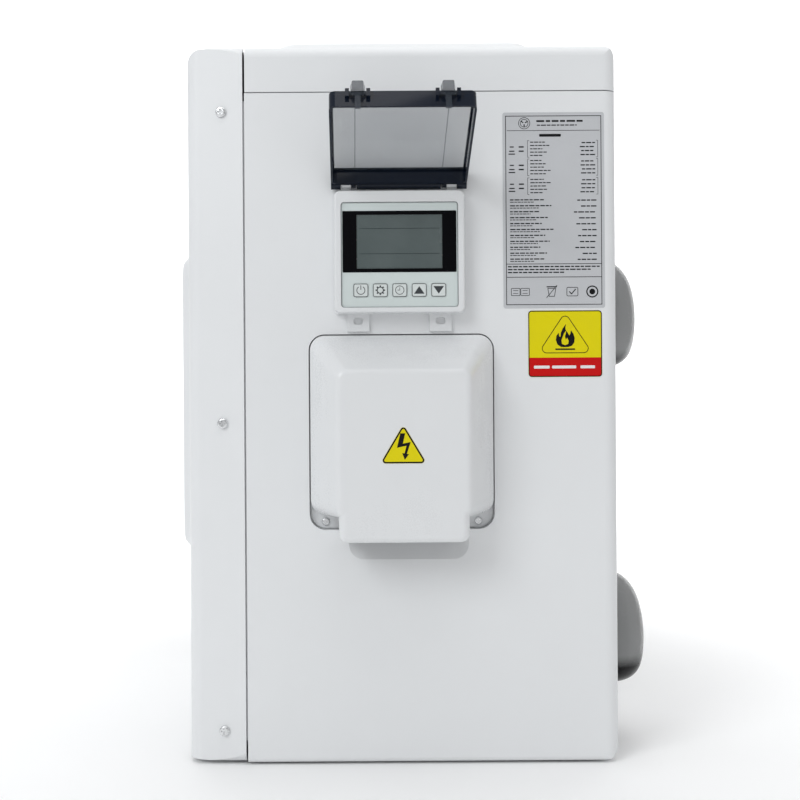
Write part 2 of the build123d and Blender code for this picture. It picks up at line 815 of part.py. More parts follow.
with BuildPart() as left_end_panel:
    mirror(end_panel(LEFT_RETURN), about=Plane.YZ)
    with Locations(*foot_screw_planes()):
        Cylinder(SCREW_SHANK + SCREW_CLEARANCE, 4 * WALL, mode=Mode.SUBTRACT)

with BuildPart() as right_end_panel:
    add(end_panel(REAR_RETURN))
    # The pocket that the wiring cover drops into.
    with BuildSketch(on_end(-POCKET_DEPTH - WALL)):
        with Locations((COVER_Y, POCKET_MID_Z)):
            RectangleRounded(POCKET_WIDTH + 2 * WALL, POCKET_HEIGHT + 2 * WALL, COVER_RADIUS + WALL)
    extrude(amount=POCKET_DEPTH)
    with BuildSketch(on_end(-POCKET_DEPTH)):
        with Locations((COVER_Y, POCKET_MID_Z)):
            RectangleRounded(POCKET_WIDTH, POCKET_HEIGHT, COVER_RADIUS + POCKET_GAP)
    extrude(amount=2 * POCKET_DEPTH, mode=Mode.SUBTRACT)
    # The scoop below the pocket, where the cables turn in under the cover.
    add(chute_blank(WALL))
    add(chute_blank(0), mode=Mode.SUBTRACT)
    with BuildSketch(on_end(-POCKET_DEPTH)):
        with Locations((COVER_Y, POCKET_MID_Z)):
            RectangleRounded(POCKET_WIDTH, POCKET_HEIGHT, COVER_RADIUS + POCKET_GAP)
    extrude(amount=2 * POCKET_DEPTH, mode=Mode.SUBTRACT)
    with BuildSketch(on_end(-POCKET_DEPTH)):
        with Locations(*EAR_SCREWS):
            Circle(SCREW_SHANK)
        with Locations((COVER_Y, WIRE_WAY_Z)):
            SlotOverall(WIRE_WAY_WIDTH, WIRE_WAY_HEIGHT)
    extrude(amount=-2 * WALL, mode=Mode.SUBTRACT)
    # The controller's opening, and the two water ports.
    with BuildSketch(on_end()):
        with Locations((CONTROL_Y, CONTROL_Z)):
            RectangleRounded(TUB_WIDTH + 2 * TUB_GAP, TUB_HEIGHT + 2 * TUB_GAP, FACIA_RADIUS)
    extrude(amount=-4 * WALL, mode=Mode.SUBTRACT)
    with BuildSketch(facing_front(REAR_Y)):
        with Locations(*PORTS):
            Circle(SHANK_RADIUS + SHANK_GAP)
    extrude(amount=2 * WALL, both=True, mode=Mode.SUBTRACT)

with BuildPart() as base_tray:
    with Locations((0, (TRAY_FRONT_Y + TRAY_REAR_Y) / 2, TRAY_FLOOR_Z)):
        Box(TRAY_LENGTH, TRAY_REAR_Y - TRAY_FRONT_Y, TRAY_HEIGHT, align=BASE)
    foot_edges = base_tray.edges().group_by(Axis.Z)[0]
    fillet(foot_edges + base_tray.edges().filter_by(Axis.Z), TRAY_RADIUS)
    offset(amount=-TRAY_WALL, openings=base_tray.faces().sort_by(Axis.Z)[-1])
    with BuildSketch(level(TRAY_FLOOR_Z)):
        with GridLocations(ANCHOR_X, ANCHOR_Y, 2, 2):
            Circle(ANCHOR_RADIUS)
        with Locations(*DRAINS):
            Circle(DRAIN_RADIUS)
    extrude(amount=TRAY_WALL, mode=Mode.SUBTRACT)
    with Locations(*foot_screw_planes()):
        Cylinder(SCREW_SHANK, 4 * TRAY_END_GAP, mode=Mode.SUBTRACT)

with BuildPart() as foot_rails:
    with BuildSketch(Plane.XY):
        with GridLocations(ANCHOR_X, 0, 2, 1):
            RectangleRounded(RAIL_WIDTH, RAIL_LENGTH, RAIL_CORNER)
        with GridLocations(ANCHOR_X, ANCHOR_Y, 2, 2):
            Circle(ANCHOR_RADIUS, mode=Mode.SUBTRACT)
    extrude(amount=TRAY_FLOOR_Z)

with BuildPart() as partition_panel:
    with BuildSketch(Plane.YZ.offset(PARTITION_X)):
        with BuildLine():
            Polyline(
                (TRAY_FRONT_Y + TRAY_RADIUS, TRAY_TOP_Z),
                (COIL_REAR_Y + SHEET, TRAY_TOP_Z),
                (COIL_REAR_Y + SHEET, PARTITION_TOP_Z),
                (TRAY_FRONT_Y + TRAY_RADIUS, PARTITION_TOP_Z),
                close=True,
            )
        make_face()
        with Locations((HEADER_Y, LEFT_PIPE_Z)):
            Circle(GAS_PIPE + PIPE_WAY, mode=Mode.SUBTRACT)
        with Locations((HEADER_Y, LIQUID_Z)):
            Circle(LIQUID_PIPE + PIPE_WAY, mode=Mode.SUBTRACT)
    extrude(amount=SHEET)

with BuildPart() as fan_grille:
    with BuildSketch(facing_front(GRILLE_SEAT_Y)):
        with Locations((FAN_X, FAN_Z)):
            Circle(GRILLE_RADIUS)
            Circle(GRILLE_RADIUS - GRILLE_RING, mode=Mode.SUBTRACT)
            with PolarLocations(0, GRILLE_SPOKES):
                with Locations(((GRILLE_HUB + GRILLE_RADIUS) / 2 - 2 * GRILLE_WIRE, 0)):
                    Rectangle(GRILLE_RADIUS - GRILLE_HUB, GRILLE_WIRE)
            Circle(GRILLE_HUB)
        for step in range(1, int((GRILLE_RADIUS - GRILLE_RING - GRILLE_HUB) / GRILLE_PITCH) + 1):
            with BuildSketch(facing_front(GRILLE_SEAT_Y), mode=Mode.PRIVATE) as ring:
                with Locations((FAN_X, FAN_Z)):
                    Circle(GRILLE_HUB + step * GRILLE_PITCH)
                    Circle(GRILLE_HUB + step * GRILLE_PITCH - GRILLE_WIRE, mode=Mode.SUBTRACT)
            add(ring.sketch_local)
    extrude(amount=GRILLE_THICK)
    with Locations(*grille_screw_planes()):
        Cylinder(SCREW_SHANK + SCREW_CLEARANCE, 4 * WALL, mode=Mode.SUBTRACT)

with BuildPart() as fan_shroud:
    with BuildSketch(FAN_PLANE):
        with BuildLine():
            Polyline(
                (SHROUD_RADIUS, SHROUD_FRONT_Y),
                (SHROUD_RADIUS + SHROUD_FLANGE, SHROUD_FRONT_Y),
                (SHROUD_RADIUS + SHROUD_FLANGE, SHROUD_FRONT_Y + SHROUD_WALL),
                (SHROUD_RADIUS + SHROUD_WALL, SHROUD_FRONT_Y + SHROUD_WALL),
                (SHROUD_RADIUS + SHROUD_WALL, SHROUD_REAR_Y - SHROUD_FLANGE),
                (SHROUD_RADIUS + SHROUD_FLANGE, SHROUD_REAR_Y),
                (SHROUD_RADIUS + SHROUD_FLANGE - SHROUD_WALL, SHROUD_REAR_Y),
                (SHROUD_RADIUS, SHROUD_REAR_Y - SHROUD_FLANGE + SHROUD_WALL),
                close=True,
            )
        make_face()
    revolve(axis=FAN_AXIS)

with BuildPart() as rear_guard:
    with BuildSketch(facing_front(REAR_Y - WALL)):
        with Locations(((GUARD_FROM_X + GUARD_TO_X) / 2, (GUARD_FOOT_Z + GUARD_TOP_Z) / 2)):
            Rectangle(GUARD_TO_X - GUARD_FROM_X, GUARD_TOP_Z - GUARD_FOOT_Z)
            with GridLocations(GUARD_PITCH_X, GUARD_PITCH_Z, GUARD_COLUMNS, GUARD_ROWS):
                RectangleRounded(
                    GUARD_PITCH_X - GRILLE_WIRE, GUARD_PITCH_Z - GRILLE_WIRE, GRILLE_WIRE, mode=Mode.SUBTRACT
                )
    extrude(amount=GUARD_THICK)

with BuildPart() as front_panel_screws:
    with Locations(*flange_screw_planes()):
        add(screw(SCREW_HEAD_RADIUS, SCREW_HEAD, SCREW_SHANK, SCREW_LENGTH))

with BuildPart() as casing_screws:
    with Locations(*lid_screw_planes(), *foot_screw_planes()):
        add(screw(SCREW_HEAD_RADIUS, SCREW_HEAD, SCREW_SHANK, SCREW_LENGTH + TRAY_END_GAP - WALL))


# ---------- wiring cover ----------


def cover_blank(inset, drop):
    """The cover's solid outer form: a straight rim, a bevelled rise to its flat face, and the chin below."""
    rim_foot = COVER_FOOT_Z + inset
    rim_top = COVER_TOP_Z - inset
    face_top = COVER_FACE_TOP_Z - inset
    chin_foot = COVER_FACE_FOOT_Z - drop
    chin_top = COVER_FACE_TOP_Z - 2 * COVER_FACE_RADIUS
    with BuildPart() as blank:
        with BuildSketch(on_end(-POCKET_DEPTH)):
            with Locations((COVER_Y, (rim_top + rim_foot) / 2)):
                RectangleRounded(COVER_WIDTH - 2 * inset, rim_top - rim_foot, COVER_RADIUS - inset)
        extrude(amount=POCKET_DEPTH + COVER_STEP)
        with BuildSketch(on_end(COVER_STEP)):
            with Locations((COVER_Y, (rim_top + rim_foot) / 2)):
                RectangleRounded(COVER_WIDTH - 2 * inset, rim_top - rim_foot, COVER_RADIUS - inset)
        with BuildSketch(on_end(COVER_RISE - inset)):
            with Locations((COVER_Y, (face_top + rim_foot) / 2)):
                RectangleRounded(
                    COVER_FACE_WIDTH - 2 * inset, face_top - rim_foot, COVER_FACE_RADIUS - inset
                )
        loft()
        fillet(blank.edges().group_by(Axis.X)[-1], COVER_EDGE - inset)
    with BuildPart() as chin:
        with BuildSketch(on_end(COVER_STEP)):
            with Locations((COVER_Y, (chin_top + chin_foot) / 2)):
                RectangleRounded(
                    COVER_FACE_WIDTH - 2 * (CHIN_STEP + inset),
                    chin_top - chin_foot,
                    COVER_FACE_RADIUS - inset,
                )
        extrude(amount=COVER_RISE - inset - COVER_STEP)
        fillet(chin.edges().group_by(Axis.X)[-1], COVER_EDGE - inset)
    with BuildPart() as joined:
        add(blank.part)
        add(chin.part)
    return joined.part


with BuildPart() as wiring_cover:
    add(cover_blank(0, 0))
    add(cover_blank(COVER_WALL, 2 * COVER_RISE), mode=Mode.SUBTRACT)
    with BuildSketch(on_end(-POCKET_DEPTH)):
        with Locations((COVER_Y, POCKET_MID_Z)):
            RectangleRounded(COVER_WIDTH, POCKET_HEIGHT - 2 * POCKET_GAP, COVER_RADIUS)
            Rectangle(COVER_WIDTH - 2 * EAR_WIDTH, POCKET_HEIGHT, mode=Mode.SUBTRACT)
        with Locations((COVER_Y, EAR_TOP_Z)):
            Rectangle(COVER_WIDTH, POCKET_HEIGHT, align=(Align.CENTER, Align.MIN), mode=Mode.SUBTRACT)
        with Locations(*EAR_SCREWS):
            Circle(SCREW_SHANK + SCREW_CLEARANCE, mode=Mode.SUBTRACT)
    extrude(amount=EAR_THICK)

with BuildPart() as small_screws:
    with Locations(*grille_screw_planes(), *ear_screw_planes()):
        add(screw(SMALL_HEAD_RADIUS, SMALL_HEAD, SCREW_SHANK, SMALL_SCREW_LENGTH))

with BuildPart() as terminal_block:
    with BuildSketch(on_end(-POCKET_DEPTH)):
        with Locations((COVER_Y, TERMINAL_Z)):
            RectangleRounded(TERMINAL_WIDTH, TERMINAL_HEIGHT, 2)
    extrude(amount=TERMINAL_DEPTH)
    with BuildSketch(on_end(TERMINAL_DEPTH - POCKET_DEPTH)):
        with Locations((COVER_Y, TERMINAL_Z)):
            with GridLocations(TERMINAL_PITCH, 0, TERMINAL_COUNT, 1):
                RectangleRounded(TERMINAL_PITCH - 2.5, TERMINAL_HEIGHT + 2, 1)
    extrude(amount=-TERMINAL_DEPTH / 2, mode=Mode.SUBTRACT)

with BuildPart() as terminal_screws:
    with BuildSketch(on_end(TERMINAL_DEPTH / 2 - POCKET_DEPTH)):
        with Locations((COVER_Y, TERMINAL_Z)):
            with GridLocations(TERMINAL_PITCH, TERMINAL_HEIGHT / 2, TERMINAL_COUNT, 2):
                Circle(TERMINAL_SCREW)
                Rectangle(2 * TERMINAL_SCREW, 1, mode=Mode.SUBTRACT)
    extrude(amount=3)

with BuildPart() as gland_bracket:
    with BuildSketch(Plane.XZ.offset(-COVER_Y - BRACKET_WIDTH / 2)):
        with BuildLine():
            Polyline(
                (END_X - POCKET_DEPTH, GLAND_Z),
                (END_X + COVER_RISE - BRACKET_INSET, GLAND_Z),
                (END_X + COVER_RISE - BRACKET_INSET, GLAND_Z + BRACKET_THICK),
                (END_X - POCKET_DEPTH + BRACKET_THICK, GLAND_Z + BRACKET_THICK),
                (END_X - POCKET_DEPTH + BRACKET_THICK, GLAND_Z + BRACKET_UP),
                (END_X - POCKET_DEPTH, GLAND_Z + BRACKET_UP),
                close=True,
            )
        make_face()
    extrude(amount=BRACKET_WIDTH)
    with Locations(*[(x, y, GLAND_Z) for x, y in GLANDS]):
        Cylinder(GLAND_THREAD, 4 * BRACKET_THICK, mode=Mode.SUBTRACT)

with BuildPart() as cable_glands:
    with BuildSketch(level(GLAND_Z)):
        with Locations(*GLANDS):
            RegularPolygon(GLAND_RADIUS, 6)
    extrude(amount=-GLAND_NUT)
    with BuildSketch(level(GLAND_Z - GLAND_NUT)):
        with Locations(*GLANDS):
            Circle(GLAND_RADIUS - 1)
    extrude(amount=GLAND_NUT - GLAND_LENGTH)
    fillet(cable_glands.edges().group_by(Axis.Z)[0], 1.5)
    with BuildSketch(level(GLAND_Z)):
        with Locations(*GLANDS):
            Circle(GLAND_THREAD)
    extrude(amount=BRACKET_THICK + GLAND_NUT)
    with BuildSketch(level(GLAND_Z + BRACKET_THICK)):
        with Locations(*GLANDS):
            RegularPolygon(GLAND_RADIUS, 6)
    extrude(amount=GLAND_NUT / 2)
    with Locations(*[(x, y, GLAND_Z) for x, y in GLANDS]):
        Cylinder(GLAND_BORE, 4 * GLAND_LENGTH, mode=Mode.SUBTRACT)


# ---------- controller ----------

with BuildPart() as control_frame:
    with BuildSketch(on_end()):
        with Locations((CONTROL_Y, FRAME_MID_Z)):
            RectangleRounded(FRAME_WIDTH, FRAME_TOP_Z - FRAME_FOOT_Z, FRAME_RADIUS)
    extrude(amount=FRAME_BASE)
    with BuildSketch(on_end(FRAME_BASE)):
        with Locations((CONTROL_Y, FRAME_MID_Z)):
            RectangleRounded(
                FRAME_WIDTH - 2 * FRAME_SIDE_STEP,
                FRAME_TOP_Z - FRAME_FOOT_Z - 2 * FRAME_END_STEP,
                FRAME_RADIUS,
            )
    extrude(amount=FRAME_RISE - FRAME_BASE, taper=FRAME_TAPER)
    fillet(control_frame.edges().group_by(Axis.X)[-1], FRAME_ROUND)
    with BuildSketch(on_end(FACIA_BACK)):
        with Locations((CONTROL_Y, CONTROL_Z)):
            RectangleRounded(
                FACIA_WIDTH + 2 * FACIA_GAP, FACIA_HEIGHT + 2 * FACIA_GAP, FACIA_RADIUS + FACIA_GAP
            )
    extrude(amount=FRAME_RISE, mode=Mode.SUBTRACT)
    with BuildSketch(on_end()):
        with Locations((CONTROL_Y, CONTROL_Z)):
            RectangleRounded(TUB_WIDTH + 2 * TUB_GAP, TUB_HEIGHT + 2 * TUB_GAP, FACIA_RADIUS)
    extrude(amount=FRAME_RISE, mode=Mode.SUBTRACT)
    # The two tabs that the window's latches snap into.
    with BuildSketch(on_end()):
        with Locations(*TABS):
            with Locations((0, (TAB_FOOT_Z + FRAME_FOOT_Z) / 2 - TAB_HOLE_Z)):
                Rectangle(TAB_WIDTH, FRAME_FOOT_Z - TAB_FOOT_Z + FRAME_RADIUS)
            RectangleRounded(TAB_HOLE_WIDTH, TAB_HOLE_HEIGHT, 2, mode=Mode.SUBTRACT)
    extrude(amount=TAB_THICK)
    # The hinge lugs.
    for side in (-1, 1):
        lug_y = CONTROL_Y + side * LUG_FROM if side > 0 else CONTROL_Y - LUG_TO
        with BuildSketch(facing_front(lug_y + LUG_TO - LUG_FROM)):
            with Locations((END_X + HINGE_OUT, HINGE_Z)):
                Circle(LUG_RADIUS)
            with BuildLine():
                Polyline(
                    (END_X, HINGE_Z + LUG_RADIUS),
                    (END_X + HINGE_OUT, HINGE_Z + LUG_RADIUS),
                    (END_X + HINGE_OUT, HINGE_Z - LUG_RADIUS),
                    (END_X + FRAME_BASE - 1, HINGE_Z - LUG_RADIUS),
                    (END_X + FRAME_BASE - 1, FRAME_TOP_Z - FRAME_RADIUS),
                    (END_X, FRAME_TOP_Z - FRAME_RADIUS),
                    close=True,
                )
            make_face()
            with Locations((END_X + HINGE_OUT, HINGE_Z)):
                Circle(PIN_RADIUS, mode=Mode.SUBTRACT)
        extrude(amount=LUG_TO - LUG_FROM)

with BuildPart() as hinge_pins:
    for port in PORTS:
        with BuildSketch(Plane.YZ.offset(port[0] - 1.8 * HOOD_LUG)):
            with Locations((REAR_Y + HOOD_PIVOT_OUT, port[1] + HOOD_PIVOT_UP)):
                Circle(HOOD_PIN)
        extrude(amount=3.6 * HOOD_LUG)
    for side in (-1, 1):
        with BuildSketch(facing_front(CONTROL_Y + side * (BARREL_HALF + 2 * KNUCKLE_GAP))):
            with Locations((END_X + HINGE_OUT, HINGE_Z)):
                Circle(PIN_RADIUS)
        extrude(amount=-side * (WINDOW_WIDTH / 2 - BARREL_HALF - 3 * KNUCKLE_GAP))


def window_block(inset, out_from, out_to):
    """A rounded block of the window's outline, drawn in by inset, between two heights over its plane."""
    with BuildPart() as block:
        with BuildSketch(window_plane(out_from)):
            with Locations((0, -WINDOW_DROP - WINDOW_LENGTH / 2)):
                RectangleRounded(
                    WINDOW_WIDTH - 2 * inset, WINDOW_LENGTH - 2 * inset, WINDOW_RADIUS - inset
                )
        extrude(amount=out_to - out_from)
    return block.part


with BuildPart() as control_window:
    add(window_block(0, -WINDOW_SINK, WINDOW_DEPTH - WINDOW_SINK))
    add(window_block(WINDOW_WALL, -WINDOW_SINK, WINDOW_DEPTH - WINDOW_SINK - WINDOW_WALL), mode=Mode.SUBTRACT)
    # The hinge knuckles along the top edge.
    for near, far, radius in WINDOW_KNUCKLES:
        with BuildSketch(Plane(origin=WINDOW_PLANE.from_local_coords((near, 0, 0)), z_dir=(0, 1, 0))):
            Circle(radius)
        extrude(amount=far - near)
        with BuildSketch(window_plane(-WINDOW_SINK)):
            with Locations(((near + far) / 2, -WINDOW_DROP / 2 - WINDOW_WALL / 2)):
                Rectangle(far - near, WINDOW_DROP + WINDOW_WALL)
        extrude(amount=WINDOW_SINK + radius)
    with Locations(WINDOW_PLANE.location * Location((0, 0, 0), (0, 90, 0))):
        for side in (-1, 1):
            with Locations((0, 0, side * (BARREL_HALF + WINDOW_WIDTH / 2) / 2)):
                Cylinder(PIN_RADIUS + PIN_GAP, WINDOW_WIDTH / 2 - BARREL_HALF, mode=Mode.SUBTRACT)
    # The ears that carry the two latches.
    for centre in (-TAB_SPREAD, TAB_SPREAD):
        for side in (-1, 1):
            ear_x = centre + side * (LATCH_HALF + EAR_GAP + EAR_WALL / 2)
            with BuildSketch(window_plane(LATCH_OUT - LATCH_EAR)):
                with Locations((ear_x, -WINDOW_FAR - LATCH_DROP / 2 - LATCH_BARREL / 2)):
                    Rectangle(EAR_WALL, LATCH_DROP + LATCH_BARREL)
            extrude(amount=2 * LATCH_EAR)
    with Locations(WINDOW_PLANE.location * Location((0, -WINDOW_FAR - LATCH_DROP, LATCH_OUT), (0, 90, 0))):
        Cylinder(LATCH_PIN + PIN_GAP, WINDOW_WIDTH + 2, mode=Mode.SUBTRACT)


def window_latch(centre):
    """A sprung latch on the window's free edge: a finger tongue, its pin and the nose that enters a tab."""
    barrel_y = -WINDOW_FAR - LATCH_DROP
    with BuildPart() as made:
        with Locations(WINDOW_PLANE.location * Location((centre, barrel_y, LATCH_OUT), (0, 90, 0))):
            Cylinder(LATCH_BARREL, 2 * LATCH_HALF)
            Cylinder(LATCH_PIN, 2 * (LATCH_HALF + EAR_GAP + EAR_WALL))
        with BuildSketch(window_plane(LATCH_OUT)):
            with BuildLine():
                Polyline(
                    (centre - LATCH_HALF + 0.6, barrel_y),
                    (centre + LATCH_HALF - 0.6, barrel_y),
                    (centre + LATCH_HALF - 2, barrel_y - TONGUE_LENGTH),
                    (centre - LATCH_HALF + 2, barrel_y - TONGUE_LENGTH),
                    close=True,
                )
            make_face()
            fillet(vertices().group_by(Axis.Y)[0], 1.2)
        extrude(amount=TONGUE_THICK)
        with BuildSketch(window_plane(LATCH_OUT)):
            with Locations((centre, barrel_y - NOSE_HEIGHT / 2 + 0.3)):
                Rectangle(NOSE_WIDTH, NOSE_HEIGHT)
        extrude(amount=-NOSE_REACH)
    return made.part


with BuildPart() as window_latch_left:
    add(window_latch(-TAB_SPREAD))

with BuildPart() as window_latch_right:
    add(window_latch(TAB_SPREAD))

with BuildPart() as control_module:
    with BuildSketch(on_end(FACIA_BACK)):
        with Locations((CONTROL_Y, CONTROL_Z)):
            RectangleRounded(FACIA_WIDTH, FACIA_HEIGHT, FACIA_RADIUS)
    extrude(amount=FACIA_THICK)
    fillet(control_module.edges().group_by(Axis.X)[-1], 0.8)
    with BuildSketch(on_end(TUB_BACK)):
        with Locations((CONTROL_Y, CONTROL_Z)):
            RectangleRounded(TUB_WIDTH, TUB_HEIGHT, FACIA_RADIUS)
    extrude(amount=TUB_DEPTH)
    with BuildSketch(on_end(TUB_BACK + TUB_WALL)):
        with Locations((CONTROL_Y, CONTROL_Z)):
            RectangleRounded(TUB_WIDTH - 2 * TUB_WALL, TUB_HEIGHT - 2 * TUB_WALL, FACIA_RADIUS - TUB_WALL)
    extrude(amount=TUB_DEPTH - TUB_WALL, mode=Mode.SUBTRACT)
    with BuildSketch(on_end(FACIA_FRONT - BEZEL_SINK)):
        with Locations((CONTROL_Y, BEZEL_Z)):
            RectangleRounded(BEZEL_WIDTH + FACIA_GAP, BEZEL_HEIGHT + FACIA_GAP, BEZEL_RADIUS)
    extrude(amount=2 * BEZEL_SINK, mode=Mode.SUBTRACT)
    with BuildSketch(on_end(FACIA_BACK)):
        with Locations((CONTROL_Y, BEZEL_Z)):
            Rectangle(LCD_WIDTH + 2 * FACIA_GAP, LCD_HEIGHT + 2 * FACIA_GAP)
        with Locations(*KEY_SPOTS):
            RectangleRounded(KEY_WIDTH + 2 * KEY_GAP, KEY_HEIGHT + 2 * KEY_GAP, 2)
    extrude(amount=2 * FACIA_THICK, mode=Mode.SUBTRACT)

with BuildPart() as display_bezel:
    with BuildSketch(on_end(FACIA_FRONT - BEZEL_SINK)):
        with Locations((CONTROL_Y, BEZEL_Z)):
            RectangleRounded(BEZEL_WIDTH, BEZEL_HEIGHT, BEZEL_RADIUS)
            Rectangle(LCD_WIDTH + FACIA_GAP, LCD_HEIGHT + FACIA_GAP, mode=Mode.SUBTRACT)
    extrude(amount=BEZEL_THICK)

with BuildPart() as lcd_panel:
    with BuildSketch(on_end(BOARD_FRONT)):
        with Locations((CONTROL_Y, BEZEL_Z)):
            Rectangle(LCD_WIDTH, LCD_HEIGHT)
    extrude(amount=FACIA_FRONT - LCD_SINK - BOARD_FRONT)

with BuildPart() as keypad_board:
    with BuildSketch(on_end(BOARD_FRONT)):
        with Locations((CONTROL_Y, CONTROL_Z)):
            RectangleRounded(
                TUB_WIDTH - 2 * TUB_WALL - FACIA_GAP,
                TUB_HEIGHT - 2 * TUB_WALL - FACIA_GAP,
                FACIA_RADIUS - TUB_WALL,
            )
    extrude(amount=-BOARD_THICK)


def key(spot):
    """One push key: its cap through the facia and the flange that keeps it in."""
    with BuildPart() as made:
        with BuildSketch(on_end(KEY_BACK)):
            with Locations(spot):
                RectangleRounded(KEY_WIDTH + 1.4, KEY_HEIGHT + 1.4, 2)
        extrude(amount=KEY_FLANGE)
        with BuildSketch(on_end(KEY_BACK + KEY_FLANGE)):
            with Locations(spot):
                RectangleRounded(KEY_WIDTH, KEY_HEIGHT, 1.8)
        extrude(amount=FACIA_FRONT + KEY_PROUD - KEY_BACK - KEY_FLANGE)
        fillet(made.edges().group_by(Axis.X)[-1], 0.4)
    return made.part


with BuildPart() as power_key:
    add(key(KEY_SPOTS[0]))

with BuildPart() as mode_key:
    add(key(KEY_SPOTS[1]))

with BuildPart() as timer_key:
    add(key(KEY_SPOTS[2]))

with BuildPart() as up_key:
    add(key(KEY_SPOTS[3]))

with BuildPart() as down_key:
    add(key(KEY_SPOTS[4]))


# ---------- water connections ----------


def port_plane(port, y):
    """A plane at Y that faces out of the rear at a water port; its x runs along +X turned about."""
    return Plane(origin=(port[0], y, port[1]), x_dir=(-1, 0, 0), z_dir=(0, 1, 0))


with BuildPart() as port_bezels:
    for port in PORTS:
        with BuildSketch(port_plane(port, REAR_Y)):
            Circle(BEZEL_RING)
            with Locations((0, HOOD_PIVOT_UP - HOOD_KNUCKLE)):
                RectangleRounded(4.5 * HOOD_LUG, 4 * HOOD_KNUCKLE, 2)
            Circle(SOCKET_FLANGE + FLANGE_THICK / 2, mode=Mode.SUBTRACT)
        extrude(amount=PORT_BASE)
        with BuildSketch(Plane.YZ.offset(port[0] - HOOD_LUG)):
            with Locations((REAR_Y + HOOD_PIVOT_OUT, port[1] + HOOD_PIVOT_UP)):
                Circle(HOOD_KNUCKLE)
            with BuildLine():
                Polyline(
                    (REAR_Y, port[1] + HOOD_PIVOT_UP + HOOD_KNUCKLE),
                    (REAR_Y + HOOD_PIVOT_OUT, port[1] + HOOD_PIVOT_UP + HOOD_KNUCKLE),
                    (REAR_Y + HOOD_PIVOT_OUT, port[1] + HOOD_PIVOT_UP),
                    (REAR_Y + PORT_BASE, port[1] + HOOD_PIVOT_UP - HOOD_KNUCKLE),
                    (REAR_Y, port[1] + HOOD_PIVOT_UP - HOOD_KNUCKLE),
                    close=True,
                )
            make_face()
            with Locations((REAR_Y + HOOD_PIVOT_OUT, port[1] + HOOD_PIVOT_UP)):
                Circle(HOOD_PIN, mode=Mode.SUBTRACT)
        extrude(amount=2 * HOOD_LUG)

def hood_blank(port, inset):
    """A hood's solid domed form, drawn in by inset: discs that shrink and sink towards its nose."""
    with BuildPart() as blank:
        for share, radius, sink in HOOD_FORM:
            depth = share * (HOOD_DEPTH - inset)
            with BuildSketch(port_plane(port, HOOD_Y + depth)):
                with Locations((0, -sink)):
                    Circle(radius * HOOD_RADIUS - inset)
        loft()
    return blank.part


def hood(port):
    """A flip-up hood over a water port, with the knuckles of its top hinge."""
    with BuildPart() as made:
        add(hood_blank(port, 0))
        add(hood_blank(port, HOOD_WALL), mode=Mode.SUBTRACT)
        for side in (-1, 1):
            middle = port[0] + side * (HOOD_LUG + HOOD_LIFT + HOOD_KNUCKLE)
            with BuildSketch(Plane.YZ.offset(middle - HOOD_KNUCKLE)):
                with Locations((REAR_Y + HOOD_PIVOT_OUT, port[1] + HOOD_PIVOT_UP)):
                    Circle(HOOD_KNUCKLE)
                with Locations((HOOD_Y + HOOD_KNUCKLE, port[1] + HOOD_PIVOT_UP - 1.2 * HOOD_KNUCKLE)):
                    Rectangle(2 * HOOD_KNUCKLE, 2.4 * HOOD_KNUCKLE)
                with Locations((REAR_Y + HOOD_PIVOT_OUT, port[1] + HOOD_PIVOT_UP)):
                    Circle(HOOD_PIN + PIN_GAP, mode=Mode.SUBTRACT)
            extrude(amount=2 * HOOD_KNUCKLE)
    return made.part


with BuildPart() as inlet_hood:
    add(hood(PORTS[0]))

with BuildPart() as outlet_hood:
    add(hood(PORTS[1]))


def water_socket(port):
    """A solvent-weld water socket: its flange outside the casing, its shank through to the exchanger."""
    with BuildPart() as made:
        with BuildSketch(port_plane(port, SHANK_END_Y)):
            Circle(SHANK_RADIUS)
        extrude(amount=SOCKET_MOUTH_Y - SHANK_END_Y)
        with BuildSketch(port_plane(port, REAR_Y + SEAL_THICK)):
            Circle(SOCKET_FLANGE)
        extrude(amount=FLANGE_THICK)
        with BuildSketch(port_plane(port, REAR_Y + SEAL_THICK + FLANGE_THICK)):
            Circle(SOCKET_RADIUS)
            with PolarLocations(SOCKET_RADIUS, SOCKET_RIBS):
                Circle(SOCKET_RIB)
        extrude(amount=SOCKET_OUT - SEAL_THICK - FLANGE_THICK)
        fillet(made.faces().sort_by(Axis.Y)[-1].edges(), SOCKET_RIB / 2)
        with BuildSketch(port_plane(port, SOCKET_MOUTH_Y)):
            Circle(PIPE_BORE)
        extrude(amount=-PIPE_DEPTH, mode=Mode.SUBTRACT)
        with BuildSketch(port_plane(port, SOCKET_MOUTH_Y)):
            Circle(FLOW_RADIUS)
        extrude(amount=SHANK_END_Y - SOCKET_MOUTH_Y, mode=Mode.SUBTRACT)
    return made.part


with BuildPart() as water_inlet_socket:
    add(water_socket(PORTS[0]))

with BuildPart() as water_outlet_socket:
    add(water_socket(PORTS[1]))

with BuildPart() as socket_seals:
    for port in PORTS:
        with BuildSketch(port_plane(port, REAR_Y)):
            Circle(SOCKET_FLANGE)
            Circle(SHANK_RADIUS + SHANK_GAP, mode=Mode.SUBTRACT)
        extrude(amount=SEAL_THICK)

